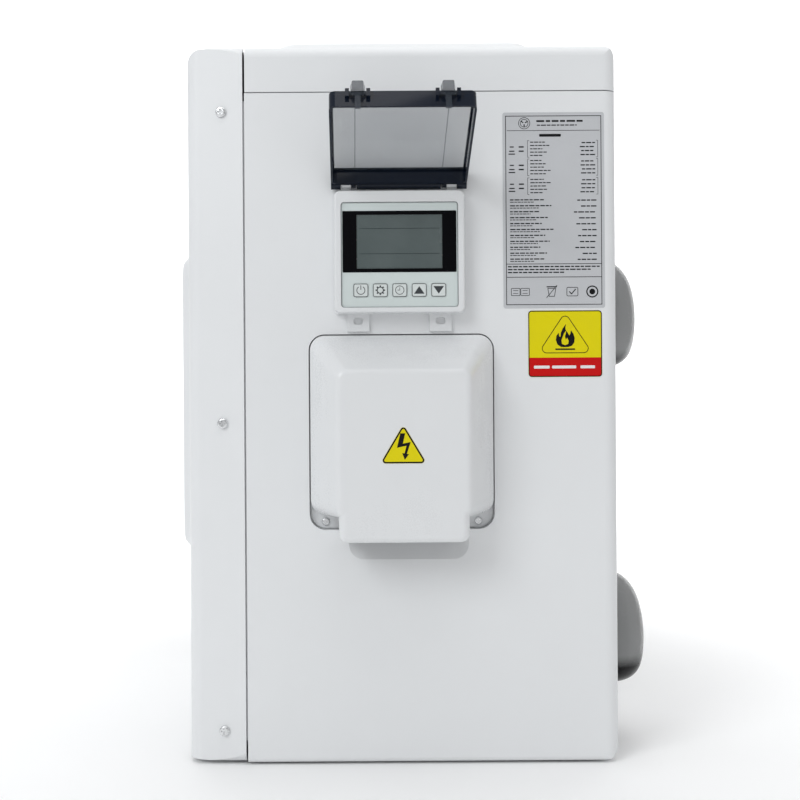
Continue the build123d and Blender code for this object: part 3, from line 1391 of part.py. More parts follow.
with BuildPart() as exchanger_shell:
    with BuildSketch(level(TRAY_TOP_Z)):
        with Locations((EXCHANGER_X, EXCHANGER_Y)):
            Circle(EXCHANGER_RADIUS - EXCHANGER_WALL)
            Circle(EXCHANGER_RADIUS - 3 * EXCHANGER_WALL, mode=Mode.SUBTRACT)
    extrude(amount=EXCHANGER_Z - TRAY_TOP_Z)
    with BuildSketch(level(EXCHANGER_Z)):
        with Locations((EXCHANGER_X, EXCHANGER_Y)):
            Circle(EXCHANGER_RADIUS)
    extrude(amount=EXCHANGER_TOP_Z - EXCHANGER_Z)
    with BuildSketch(level(EXCHANGER_Z + EXCHANGER_WALL)):
        with Locations((EXCHANGER_X, EXCHANGER_Y)):
            Circle(EXCHANGER_RADIUS - EXCHANGER_WALL)
    extrude(amount=EXCHANGER_TOP_Z, mode=Mode.SUBTRACT)
    for port in PORTS:
        with BuildSketch(port_plane(port, EXCHANGER_Y)):
            Circle(SHANK_RADIUS + SHANK_GAP)
        extrude(amount=EXCHANGER_RADIUS, mode=Mode.SUBTRACT)

with BuildPart() as exchanger_cap:
    with BuildSketch(level(EXCHANGER_TOP_Z)):
        with Locations((EXCHANGER_X, EXCHANGER_Y)):
            Circle(EXCHANGER_RADIUS + CAP_FLANGE)
    extrude(amount=CAP_THICK)
    fillet(exchanger_cap.edges().group_by(Axis.Z)[-1], CAP_THICK / 2)

with BuildPart() as titanium_coil:
    with BuildLine() as coil_line:
        Helix(HELIX_PITCH, HELIX_HEIGHT, HELIX_RADIUS, center=(EXCHANGER_X, EXCHANGER_Y, HELIX_Z))
    with BuildSketch(Plane(origin=coil_line.line @ 0, z_dir=coil_line.line % 0)):
        Circle(HELIX_TUBE)
    sweep(is_frenet=True)


# ---------- refrigerant circuit ----------


def can(x, y, radius, low, high, dome):
    """An upright pressed-steel can with domed ends."""
    with BuildPart() as made:
        with BuildSketch(level(low)):
            with Locations((x, y)):
                Circle(radius)
        extrude(amount=high - low)
        fillet(made.edges().filter_by(GeomType.CIRCLE), dome)
    return made.part


with BuildPart() as compressor:
    add(can(COMPRESSOR_X, COMPRESSOR_Y, COMPRESSOR_RADIUS, COMPRESSOR_Z, COMPRESSOR_TOP_Z, CAN_DOME))
    with BuildSketch(level(COMPRESSOR_Z - FOOT_PLATE)):
        with Locations(*FEET):
            Circle(GROMMET_RADIUS + 2)
        make_hull()
        with Locations(*FEET):
            Circle(FOOT_BOLT + SCREW_CLEARANCE, mode=Mode.SUBTRACT)
    extrude(amount=FOOT_PLATE)
    with BuildSketch(level(COMPRESSOR_Z)):
        with Locations((COMPRESSOR_X, COMPRESSOR_Y)):
            Circle(COMPRESSOR_RADIUS - CAN_DOME + 2)
    extrude(amount=CAN_DOME)
    with BuildSketch(level(COMPRESSOR_TOP_Z - CAN_DOME)):
        with Locations((COMPRESSOR_X, COMPRESSOR_Y)):
            Circle(GAS_PIPE + 2)
    extrude(amount=CAN_DOME + DISCHARGE_STUB)

with BuildPart() as compressor_grommets:
    with BuildSketch(level(TRAY_TOP_Z)):
        with Locations(*FEET):
            Circle(GROMMET_RADIUS)
            Circle(FOOT_BOLT, mode=Mode.SUBTRACT)
    extrude(amount=COMPRESSOR_Z - FOOT_PLATE - TRAY_TOP_Z)

with BuildPart() as compressor_bolts:
    with BuildSketch(level(TRAY_TOP_Z)):
        with Locations(*FEET):
            Circle(FOOT_BOLT)
    extrude(amount=COMPRESSOR_Z - TRAY_TOP_Z)
    with BuildSketch(level(COMPRESSOR_Z)):
        with Locations(*FEET):
            RegularPolygon(2 * FOOT_BOLT, 6)
    extrude(amount=FOOT_BOLT)

with BuildPart() as accumulator:
    add(
        can(
            ACCUMULATOR_X,
            ACCUMULATOR_Y,
            ACCUMULATOR_RADIUS,
            ACCUMULATOR_Z,
            ACCUMULATOR_TOP_Z,
            0.8 * ACCUMULATOR_RADIUS,
        )
    )
    add(pipe(ACCUMULATOR_ELBOW, 14, GAS_PIPE))

with BuildPart() as evaporator_fins:
    with BuildSketch(level(TRAY_TOP_Z + SHEET)):
        with Locations(((COIL_FROM_X + COIL_TO_X) / 2, (COIL_FRONT_Y + COIL_REAR_Y) / 2)):
            Rectangle(COIL_TO_X - COIL_FROM_X, COIL_REAR_Y - COIL_FRONT_Y)
            with GridLocations(FIN_PITCH, COIL_REAR_Y - COIL_FRONT_Y, FIN_COUNT, 2):
                Rectangle(FIN_GROOVE, 2 * FIN_GROOVE_DEPTH, mode=Mode.SUBTRACT)
    extrude(amount=COIL_TOP_Z - TRAY_TOP_Z - SHEET)


def tube_bend():
    """One return bend of the coil's tubes, turned out of the tube sheet at its middle."""
    with BuildPart() as made:
        with BuildSketch(Plane(origin=(0, 0, BEND_PITCH / 2), z_dir=(1, 0, 0))):
            Circle(BEND_RADIUS)
        revolve(axis=Axis.Y, revolution_arc=180)
    return made.part


with BuildPart() as evaporator_ends:
    for x in (COIL_FROM_X - SHEET, COIL_TO_X):
        with BuildSketch(Plane.YZ.offset(x)):
            with Locations(((COIL_FRONT_Y + COIL_REAR_Y) / 2, (TRAY_TOP_Z + COIL_TOP_Z) / 2)):
                Rectangle(COIL_REAR_Y - COIL_FRONT_Y + 2 * SHEET, COIL_TOP_Z - TRAY_TOP_Z)
        extrude(amount=SHEET)
    with Locations(*[(COIL_TO_X + SHEET, BEND_Y, z) for z in BEND_HEIGHTS]):
        add(tube_bend())
    with BuildSketch(level(HEADER_FOOT_Z)):
        with Locations((HEADER_X, HEADER_Y)):
            Circle(HEADER_RADIUS)
    extrude(amount=HEADER_TOP_Z - HEADER_FOOT_Z)

with BuildPart() as reversing_valve:
    with BuildSketch(Plane.YZ.offset(COMPRESSOR_X - VALVE_HALF)):
        with Locations((VALVE_Y, VALVE_Z)):
            Circle(VALVE_RADIUS)
    extrude(amount=2 * VALVE_HALF)
    with BuildSketch(level(VALVE_Z)):
        with Locations(*[(COMPRESSOR_X + step * PORT_STEP, VALVE_Y) for step in (-1, 0, 1)]):
            Circle(GAS_PIPE + 2)
    extrude(amount=VALVE_RADIUS + VALVE_STUB)
    with BuildSketch(level(VALVE_Z)):
        with Locations((COMPRESSOR_X, VALVE_Y)):
            Circle(GAS_PIPE + 2)
    extrude(amount=-VALVE_RADIUS - VALVE_STUB)
    with BuildSketch(facing_front(VALVE_Y)):
        with Locations((COMPRESSOR_X, VALVE_Z)):
            RectangleRounded(1.5 * VALVE_RADIUS, 1.5 * VALVE_RADIUS, GAS_PIPE / 2)
    extrude(amount=VALVE_RADIUS + SOLENOID)

with BuildPart() as expansion_valve:
    with BuildSketch(level(LIQUID_Z - EXPANSION_HALF)):
        with Locations((EXPANSION_X, EXCHANGER_Y)):
            Circle(2.2 * LIQUID_PIPE)
    extrude(amount=2 * EXPANSION_HALF)
    with BuildSketch(level(LIQUID_Z + EXPANSION_HALF)):
        with Locations((EXPANSION_X, EXCHANGER_Y)):
            Circle(3.5 * LIQUID_PIPE)
    extrude(amount=EXPANSION_HALF)
    fillet(expansion_valve.edges().group_by(Axis.Z)[-1], LIQUID_PIPE / 2)

with BuildPart() as gas_pipes:
    # Discharge, suction, then the two ports that the reversing valve swaps.
    add(
        pipe(
            [
                (COMPRESSOR_X, COMPRESSOR_Y, COMPRESSOR_TOP_Z + DISCHARGE_STUB),
                (COMPRESSOR_X, COMPRESSOR_Y, DISCHARGE_Z),
                (COMPRESSOR_X, VALVE_Y, DISCHARGE_Z),
                (COMPRESSOR_X, VALVE_Y, VALVE_Z - VALVE_RADIUS - VALVE_STUB),
            ],
            2 * GAS_PIPE,
            GAS_PIPE,
        )
    )
    add(
        pipe(
            [
                (COMPRESSOR_X, VALVE_Y, VALVE_TOP_Z),
                (COMPRESSOR_X, VALVE_Y, SUCTION_Z),
                (ACCUMULATOR_X, ACCUMULATOR_Y, SUCTION_Z),
                (ACCUMULATOR_X, ACCUMULATOR_Y, ACCUMULATOR_TOP_Z),
            ],
            2.5 * GAS_PIPE,
            GAS_PIPE,
        )
    )
    add(
        pipe(
            [
                (COMPRESSOR_X + PORT_STEP, VALVE_Y, VALVE_TOP_Z),
                (COMPRESSOR_X + PORT_STEP, VALVE_Y, LEFT_PIPE_Z),
                (GAS_PORT_X, GAS_PORT_Y, LEFT_PIPE_Z),
                (GAS_PORT_X, GAS_PORT_Y, CAP_TOP_Z),
            ],
            1.6 * GAS_PIPE,
            GAS_PIPE,
        )
    )
    add(
        pipe(
            [
                (COMPRESSOR_X - PORT_STEP, VALVE_Y, VALVE_TOP_Z),
                (COMPRESSOR_X - PORT_STEP, VALVE_Y, LEFT_PIPE_Z),
                (COMPRESSOR_X - 1.5 * PORT_STEP, HEADER_Y, LEFT_PIPE_Z),
                (HEADER_X + HEADER_RADIUS, HEADER_Y, LEFT_PIPE_Z),
            ],
            1.6 * GAS_PIPE,
            GAS_PIPE,
        )
    )

with BuildPart() as liquid_pipe:
    add(
        pipe(
            [
                (EXCHANGER_X - EXCHANGER_RADIUS, EXCHANGER_Y, LIQUID_FOOT_Z),
                (EXPANSION_X, EXCHANGER_Y, LIQUID_FOOT_Z),
                (EXPANSION_X, EXCHANGER_Y, LIQUID_Z - EXPANSION_HALF),
            ],
            5 * LIQUID_PIPE,
            LIQUID_PIPE,
        )
    )
    add(
        pipe(
            [
                (EXPANSION_X, EXCHANGER_Y + 2.2 * LIQUID_PIPE, LIQUID_Z),
                (EXPANSION_X, HEADER_Y, LIQUID_Z),
                (COIL_TO_X + SHEET, HEADER_Y, LIQUID_Z),
            ],
            5 * LIQUID_PIPE,
            LIQUID_PIPE,
        )
    )


# ---------- fan ----------

with BuildPart() as fan_motor:
    with BuildSketch(facing_front(MOTOR_REAR_Y)):
        with Locations((FAN_X, FAN_Z)):
            Circle(MOTOR_RADIUS)
    extrude(amount=MOTOR_LENGTH)
    fillet(fan_motor.edges().group_by(Axis.Y)[0], MOTOR_RADIUS / 6)
    with BuildSketch(facing_front(MOTOR_REAR_Y - MOTOR_LENGTH)):
        with Locations((FAN_X, FAN_Z)):
            Circle(SHAFT_RADIUS + SHAFT_GAP)
    extrude(amount=-MOTOR_LENGTH / 2, mode=Mode.SUBTRACT)

with BuildPart() as motor_bracket:
    with BuildSketch(facing_front(MOTOR_REAR_Y + SHEET)):
        with Locations((FAN_X, (TRAY_TOP_Z + BRACKET_TOP_Z) / 2)):
            with GridLocations(POST_SPREAD, 0, 2, 1):
                Rectangle(POST_WIDTH, BRACKET_TOP_Z - TRAY_TOP_Z)
        with Locations((FAN_X, FAN_Z)):
            Rectangle(POST_SPREAD, 2.4 * MOTOR_RADIUS)
            Circle(MOTOR_RADIUS / 2, mode=Mode.SUBTRACT)
    extrude(amount=SHEET)

with BuildPart() as fan_rotor:
    with BuildSketch(facing_front(FAN_Y + HUB_LENGTH / 2)):
        with Locations((FAN_X, FAN_Z)):
            Circle(HUB_RADIUS)
    extrude(amount=HUB_LENGTH)
    fillet(fan_rotor.edges().group_by(Axis.Y)[0], HUB_RADIUS / 5)
    for blade in range(BLADES):
        turn = math.radians(360 * blade / BLADES)
        lean = math.radians(BLADE_PITCH)
        outward = (math.cos(turn), 0, math.sin(turn))
        blade_plane = Plane(
            origin=(FAN_X, FAN_Y, FAN_Z),
            x_dir=outward,
            z_dir=(-math.sin(turn) * math.sin(lean), -math.cos(lean), math.cos(turn) * math.sin(lean)),
        )
        with BuildSketch(blade_plane):
            with BuildLine():
                Polyline(
                    (HUB_RADIUS - 6, -BLADE_ROOT / 2),
                    (FAN_RADIUS - 8, -BLADE_TIP / 2 - 8),
                    (FAN_RADIUS - 4, BLADE_TIP / 2 - 8),
                    (HUB_RADIUS - 6, BLADE_ROOT / 2),
                    close=True,
                )
            make_face()
            fillet(vertices().sort_by(Axis.X)[-2:], BLADE_ROUND)
        extrude(amount=BLADE_THICK / 2, both=True)
    with BuildSketch(facing_front(FAN_Y)):
        with Locations((FAN_X, FAN_Z)):
            Circle(SHAFT_RADIUS)
    extrude(amount=HUB_LENGTH, both=True, mode=Mode.SUBTRACT)

with BuildPart() as fan_shaft:
    with BuildSketch(facing_front(MOTOR_REAR_Y - MOTOR_LENGTH + SHAFT_INSERT)):
        with Locations((FAN_X, FAN_Z)):
            Circle(SHAFT_RADIUS)
    extrude(amount=MOTOR_REAR_Y - MOTOR_LENGTH + SHAFT_INSERT - FAN_Y)


# ---------- electronics ----------

with BuildPart() as board_tray:
    with Locations(((PARTITION_X + SHEET + BOARD_TRAY_TO_X) / 2, BOARD_TRAY_Y, BOARD_TRAY_Z)):
        Box(BOARD_TRAY_TO_X - PARTITION_X - SHEET, BOARD_TRAY_WIDTH, BOARD_TRAY_HEIGHT, align=BASE)
    offset(amount=-SHEET, openings=board_tray.faces().sort_by(Axis.Z)[-1])

with BuildPart() as main_board:
    board_middle = ((PARTITION_X + SHEET + BOARD_TRAY_TO_X) / 2, BOARD_TRAY_Y)
    with BuildSketch(level(BOARD_TRAY_Z + SHEET)):
        with Locations(board_middle):
            with GridLocations(BOARD_LENGTH - 16, BOARD_WIDTH - 16, 2, 2):
                Circle(3)
    extrude(amount=BOARD_STAND)
    with BuildSketch(level(BOARD_TRAY_Z + SHEET + BOARD_STAND)):
        with Locations(board_middle):
            Rectangle(BOARD_LENGTH, BOARD_WIDTH)
    extrude(amount=BOARD_THICK)
    with BuildSketch(level(BOARD_TRAY_Z + SHEET + BOARD_STAND + BOARD_THICK)):
        with Locations(board_middle):
            with Locations((-60, 50), (-20, 50)):
                Circle(14)
            with Locations((60, 45)):
                with GridLocations(8, 0, 7, 1):
                    Rectangle(3, 50)
            with GridLocations(26, 22, 4, 2):
                Rectangle(18, 15)
    extrude(amount=BOARD_PARTS)


# ---------- labels ----------

with BuildPart() as rating_label:
    with BuildSketch(on_end()):
        with Locations((RATING_Y, RATING_Z)):
            RectangleRounded(RATING_WIDTH, RATING_HEIGHT, 2)
    extrude(amount=LABEL_THICK)

with BuildPart() as gas_label:
    with BuildSketch(on_end()):
        with Locations((GAS_LABEL_Y, GAS_LABEL_Z)):
            RectangleRounded(GAS_LABEL_WIDTH, GAS_LABEL_HEIGHT, 3)
    extrude(amount=LABEL_THICK)

with BuildPart() as shock_label:
    with BuildSketch(on_end(COVER_RISE)):
        with BuildLine():
            Polyline(
                (SHOCK_Y - SHOCK_WIDTH / 2, SHOCK_Z - SHOCK_HEIGHT / 2),
                (SHOCK_Y + SHOCK_WIDTH / 2, SHOCK_Z - SHOCK_HEIGHT / 2),
                (SHOCK_Y, SHOCK_Z + SHOCK_HEIGHT / 2),
                close=True,
            )
        make_face()
        fillet(vertices(), SHOCK_ROUND)
    extrude(amount=LABEL_THICK)


# ---------- files ----------

NODES = {
    "base_tray": base_tray,
    "foot_rails": foot_rails,
    "right_end_panel": right_end_panel,
    "left_end_panel": left_end_panel,
    "lid": lid,
    "front_panel": front_panel,
    "fan_grille": fan_grille,
    "fan_shroud": fan_shroud,
    "rear_guard": rear_guard,
    "partition_panel": partition_panel,
    "front_panel_screws": front_panel_screws,
    "casing_screws": casing_screws,
    "wiring_cover": wiring_cover,
    "small_screws": small_screws,
    "terminal_block": terminal_block,
    "terminal_screws": terminal_screws,
    "gland_bracket": gland_bracket,
    "cable_glands": cable_glands,
    "control_frame": control_frame,
    "control_window": control_window,
    "hinge_pins": hinge_pins,
    "window_latch_left": window_latch_left,
    "window_latch_right": window_latch_right,
    "control_module": control_module,
    "display_bezel": display_bezel,
    "lcd_panel": lcd_panel,
    "keypad_board": keypad_board,
    "power_key": power_key,
    "mode_key": mode_key,
    "timer_key": timer_key,
    "up_key": up_key,
    "down_key": down_key,
    "port_bezels": port_bezels,
    "inlet_hood": inlet_hood,
    "outlet_hood": outlet_hood,
    "water_inlet_socket": water_inlet_socket,
    "water_outlet_socket": water_outlet_socket,
    "socket_seals": socket_seals,
    "exchanger_shell": exchanger_shell,
    "exchanger_cap": exchanger_cap,
    "titanium_coil": titanium_coil,
    "compressor": compressor,
    "compressor_grommets": compressor_grommets,
    "compressor_bolts": compressor_bolts,
    "accumulator": accumulator,
    "evaporator_fins": evaporator_fins,
    "evaporator_ends": evaporator_ends,
    "reversing_valve": reversing_valve,
    "expansion_valve": expansion_valve,
    "gas_pipes": gas_pipes,
    "liquid_pipe": liquid_pipe,
    "fan_motor": fan_motor,
    "motor_bracket": motor_bracket,
    "fan_rotor": fan_rotor,
    "fan_shaft": fan_shaft,
    "board_tray": board_tray,
    "main_board": main_board,
    "rating_label": rating_label,
    "gas_label": gas_label,
    "shock_label": shock_label,
}

os.makedirs("parts", exist_ok=True)
for name, piece in NODES.items():
    piece.part.label = name
    export_step(piece.part, f"parts/{name}.step")
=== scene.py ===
import json
import logging
import math
from collections.abc import Sequence
from dataclasses import dataclass, field
from enum import Enum
from typing import Any

import bmesh
import bpy
from mathutils import Matrix, Vector

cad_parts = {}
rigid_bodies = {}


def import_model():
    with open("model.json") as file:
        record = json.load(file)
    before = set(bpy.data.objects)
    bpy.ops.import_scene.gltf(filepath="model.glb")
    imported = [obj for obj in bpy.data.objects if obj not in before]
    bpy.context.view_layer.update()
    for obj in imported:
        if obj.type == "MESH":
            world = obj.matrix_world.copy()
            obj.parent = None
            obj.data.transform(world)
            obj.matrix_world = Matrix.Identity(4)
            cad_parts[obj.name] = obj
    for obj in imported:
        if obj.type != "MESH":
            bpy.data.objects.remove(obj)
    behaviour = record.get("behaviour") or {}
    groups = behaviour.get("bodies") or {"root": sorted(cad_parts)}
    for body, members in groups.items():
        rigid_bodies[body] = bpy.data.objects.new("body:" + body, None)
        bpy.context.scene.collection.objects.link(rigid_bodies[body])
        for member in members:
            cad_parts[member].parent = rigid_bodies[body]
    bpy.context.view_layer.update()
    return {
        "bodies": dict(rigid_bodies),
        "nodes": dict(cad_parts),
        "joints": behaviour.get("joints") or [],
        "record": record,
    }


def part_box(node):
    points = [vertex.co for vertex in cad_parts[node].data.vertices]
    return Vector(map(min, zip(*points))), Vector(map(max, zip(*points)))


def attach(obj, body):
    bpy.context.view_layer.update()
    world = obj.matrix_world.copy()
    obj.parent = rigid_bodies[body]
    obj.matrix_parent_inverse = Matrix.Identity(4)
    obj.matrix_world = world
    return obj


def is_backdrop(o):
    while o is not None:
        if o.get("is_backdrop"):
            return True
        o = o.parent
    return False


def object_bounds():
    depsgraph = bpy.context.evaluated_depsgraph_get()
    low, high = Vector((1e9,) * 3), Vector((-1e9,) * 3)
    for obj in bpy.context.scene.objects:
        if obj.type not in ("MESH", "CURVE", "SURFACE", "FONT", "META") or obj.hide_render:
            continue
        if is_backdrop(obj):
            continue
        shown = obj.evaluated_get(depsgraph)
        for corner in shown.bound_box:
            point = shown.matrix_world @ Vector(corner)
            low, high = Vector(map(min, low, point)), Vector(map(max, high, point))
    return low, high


# Looks for a pool and spa heat pump: moulded casing, smoked window, printed labels, fan, coil and ports.
# Metres, in the model's own frame: +X is the serviced end, -Y the fan side, +Y the water ports, +Z up.

LOG = logging.getLogger("heat_pump")
MM = 0.001

Colour = tuple[float, float, float]
Place = tuple[float, float, float]
Point = tuple[float, float]
Outline = list[Point]


# ---------------------------------------------------------------- shader sockets


class Socket:
    """A shader value that adds its Math nodes when it is used in a sum."""

    def __init__(self, graph: "Graph", link: bpy.types.NodeSocket | None) -> None:
        """Wraps one output socket.

        Args:
            graph: the graph that the socket belongs to.
            link: the output socket itself.
        """
        self.graph = graph
        self.link = link

    def _sum(self, operation: str, first: Any, second: Any) -> "Socket":
        """Adds one Math node.

        Args:
            operation: the Math node's operation.
            first: a socket or a number.
            second: a socket or a number.

        Returns:
            The node's result.
        """
        return self.graph.node("ShaderNodeMath", {"operation": operation}, {0: first, 1: second})

    def __add__(self, other: Any) -> "Socket":
        """Returns self + other."""
        return self._sum("ADD", self, other)

    def __radd__(self, other: Any) -> "Socket":
        """Returns other + self."""
        return self._sum("ADD", other, self)

    def __sub__(self, other: Any) -> "Socket":
        """Returns self - other."""
        return self._sum("SUBTRACT", self, other)

    def __rsub__(self, other: Any) -> "Socket":
        """Returns other - self."""
        return self._sum("SUBTRACT", other, self)

    def __mul__(self, other: Any) -> "Socket":
        """Returns self * other."""
        return self._sum("MULTIPLY", self, other)

    def __rmul__(self, other: Any) -> "Socket":
        """Returns other * self."""
        return self._sum("MULTIPLY", other, self)

    def above(self, limit: float) -> "Socket":
        """Returns 1 where the value is above the limit, and 0 elsewhere."""
        return self._sum("GREATER_THAN", self, limit)

    def most(self, other: Any) -> "Socket":
        """Returns the larger of self and other."""
        return self._sum("MAXIMUM", self, other)

    def plain(self) -> "Socket":
        """Returns the value without its sign."""
        return self._sum("ABSOLUTE", self, 0.0)


class Graph:
    """A material's node graph, built one node at a time."""

    def __init__(self, name: str) -> None:
        """Starts an empty material.

        Args:
            name: the material's name.
        """
        self.material = bpy.data.materials.new(name)
        self.material.use_nodes = True
        self.tree = self.material.node_tree
        self.tree.nodes.clear()

    def node(
        self, kind: str, settings: dict[str, Any], inputs: dict[Any, Any], output: Any = 0
    ) -> Socket:
        """Adds a node of any kind.

        Args:
            kind: the node's type.
            settings: the node's own options, set first.
            inputs: values or sockets by input name or number.
            output: the name or number of the output to return.

        Returns:
            The chosen output.
        """
        made = self.tree.nodes.new(kind)
        for key, value in settings.items():
            setattr(made, key, value)
        for key, value in inputs.items():
            target = made.inputs[key]
            if isinstance(value, Socket):
                self.tree.links.new(value.link, target)
            elif isinstance(value, tuple) and len(value) == 3 and target.type == "RGBA":
                target.default_value = (*value, 1.0)
            else:
                target.default_value = value
        return Socket(self, made.outputs[output] if made.outputs else None)

    def place(self) -> Socket:
        """Returns the point on the object, in metres."""
        return self.node("ShaderNodeTexCoord", {}, {}, "Object")

    def split(self, vector: Socket, axis: str) -> Socket:
        """Returns one of a vector's three parts.

        Args:
            vector: the vector.
            axis: X, Y or Z.
        """
        return self.node("ShaderNodeSeparateXYZ", {}, {"Vector": vector}, axis)

    def stretched(self, vector: Socket, scale: Place) -> Socket:
        """Returns the vector times a scale on each axis.

        Args:
            vector: the vector.
            scale: the three factors.
        """
        return self.node(
            "ShaderNodeVectorMath", {"operation": "MULTIPLY"}, {0: vector, 1: scale}
        )

    def noise(self, vector: Socket, size: float, detail: float = 2.0, rough: float = 0.5) -> Socket:
        """Returns a smooth noise from 0 to 1.

        Args:
            vector: where it is read, in metres.
            size: how large its blotches are, in metres.
            detail: how many finer layers it has.
            rough: how strong those layers are.
        """
        return self.node(
            "ShaderNodeTexNoise",
            {"noise_dimensions": "3D"},
            {"Vector": vector, "Scale": 1.0 / size, "Detail": detail, "Roughness": rough},
            "Fac",
        )

    def cells(self, vector: Socket, size: float, output: str = "Distance") -> Socket:
        """Returns a cellular pattern.

        Args:
            vector: where it is read, in metres.
            size: how large its cells are, in metres.
            output: Distance or Color.
        """
        return self.node(
            "ShaderNodeTexVoronoi", {}, {"Vector": vector, "Scale": 1.0 / size}, output
        )

    def spread(self, value: Socket, low: float, high: float, to: Point = (0.0, 1.0)) -> Socket:
        """Returns the value stretched from one range to another, and held inside it.

        Args:
            value: the value.
            low: what becomes the new range's start.
            high: what becomes its end.
            to: the new range.
        """
        return self.node(
            "ShaderNodeMapRange",
            {"clamp": True},
            {"Value": value, "From Min": low, "From Max": high, "To Min": to[0], "To Max": to[1]},
        )

    def mix(self, factor: Any, first: Any, second: Any, blend: str = "MIX") -> Socket:
        """Returns two colours mixed.

        Args:
            factor: from 0, all the first, to 1, all the second.
            first: a colour.
            second: a colour.
            blend: how they mix.
        """
        return self.node(
            "ShaderNodeMix",
            {"data_type": "RGBA", "blend_type": blend},
            {0: factor, 6: first, 7: second},
            2,
        )

    def bump(self, height: Socket, depth: float, strength: float = 1.0) -> Socket:
        """Returns a surface normal that a height pushes about.

        Args:
            height: from 0 to 1.
            depth: how deep the height goes, in metres.
            strength: how much of it shows.
        """
        return self.node(
            "ShaderNodeBump", {}, {"Height": height, "Distance": depth, "Strength": strength}
        )

    def surface(self, inputs: dict[str, Any]) -> bpy.types.Material:
        """Ends the graph in one glossy surface.

        Args:
            inputs: the surface's values and sockets by name.

        Returns:
            The finished material.
        """
        shader = self.node("ShaderNodeBsdfPrincipled", {}, inputs)
        self.node("ShaderNodeOutputMaterial", {}, {"Surface": shader})
        return self.material


# ---------------------------------------------------------------- finishes


@dataclass(frozen=True)
class Finish:
    """What a surface is made of and how it looks close up."""

    name: str
    colour: Colour
    roughness: float

    def shaded(self) -> bpy.types.Material:
        """Returns the finish's material, made once."""
        found = bpy.data.materials.get(self.name)
        return found if found is not None else self.make(Graph(self.name))

    def make(self, graph: Graph) -> bpy.types.Material:
        """Builds the material; each kind of finish has its own."""
        raise NotImplementedError(self.name)


@dataclass(frozen=True)
class Moulded(Finish):
    """Moulded plastic or rubber with a spark-eroded grain."""

    grain: float = 0.9 * MM
    depth: float = 0.03 * MM
    mottle: float = 0.02
    flow: float = 0.0
    coat: float = 0.0
    grime: float = 0.0
    specular: float = 0.5

    def make(self, graph: Graph) -> bpy.types.Material:
        """Grain from two noises, slow tone changes, faint flow lines and a little dust near the ground."""
        at = graph.place()
        fine = graph.noise(at, self.grain, 2.0, 0.6)
        coarse = graph.noise(at, 3.2 * self.grain, 1.0)
        tone = graph.noise(at, 0.16, 3.0)
        low = graph.spread(graph.split(at, "Z"), 0.0, 0.09, (1.0, 0.0))
        dust = low * graph.spread(graph.noise(at, 0.03, 4.0, 0.65), 0.35, 0.75) * self.grime
        shade = graph.spread(tone, 0.3, 0.7, (1.0 - self.mottle, 1.0 + self.mottle))
        body = graph.node(
            "ShaderNodeVectorMath", {"operation": "SCALE"}, {0: self.colour, "Scale": shade}
        )
        tinted = graph.mix(dust, body, (0.33, 0.29, 0.24))
        streak = graph.noise(graph.stretched(at, (1.0, 1.0, 0.12)), 0.012, 2.0)
        rough = (
            graph.spread(tone, 0.3, 0.7, (self.roughness - 0.03, self.roughness + 0.04))
            + (fine - 0.5) * 0.06
            + (streak - 0.5) * self.flow
            + dust * 0.3
        )
        height = fine * 0.65 + coarse * 0.35
        return graph.surface(
            {
                "Base Color": tinted,
                "Roughness": rough,
                "Specular IOR Level": self.specular,
                "Coat Weight": self.coat,
                "Coat Roughness": 0.08,
                "Normal": graph.bump(height, self.depth),
            }
        )


@dataclass(frozen=True)
class Smoked(Finish):
    """See-through smoked polycarbonate, darker where it is seen through more of it."""

    deep: Colour = (0.006, 0.010, 0.020)
    clearness: Point = (0.74, 0.02)
    marks: float = 0.05
    specular: float = 0.22
    coat: float = 0.10

    def thickness(self, graph: Graph, at: Socket) -> Socket:
        """Returns 0 where the eye looks through one sheet, and 1 where it looks along the wall."""
        return graph.spread(graph.noise(at, 0.05, 2.0), 0.3, 0.7, (0.0, 0.05))

    def make(self, graph: Graph) -> bpy.types.Material:
        """A thin tinted sheet whose depth of colour follows its thickness, with faint rubbing marks."""
        at = graph.place()
        strokes = graph.noise(graph.stretched(at, (1.0, 0.15, 1.0)), 0.004, 3.0, 0.7)
        cloud = graph.noise(at, 0.05, 2.0)
        deep = self.thickness(graph, at)
        rough = graph.spread(strokes, 0.45, 0.8, (self.roughness, self.roughness + self.marks))
        see_through = graph.spread(deep, 0.0, 1.0, self.clearness)
        return graph.surface(
            {
                "Base Color": graph.mix(deep, self.colour, self.deep),
                "Roughness": rough,
                "Specular IOR Level": self.specular,
                "Alpha": 1.0 - see_through - (cloud - 0.5) * 0.05,
                "Coat Weight": self.coat,
                "Coat Roughness": 0.03,
                "Normal": graph.bump(cloud, 0.05 * MM, 0.4),
            }
        )


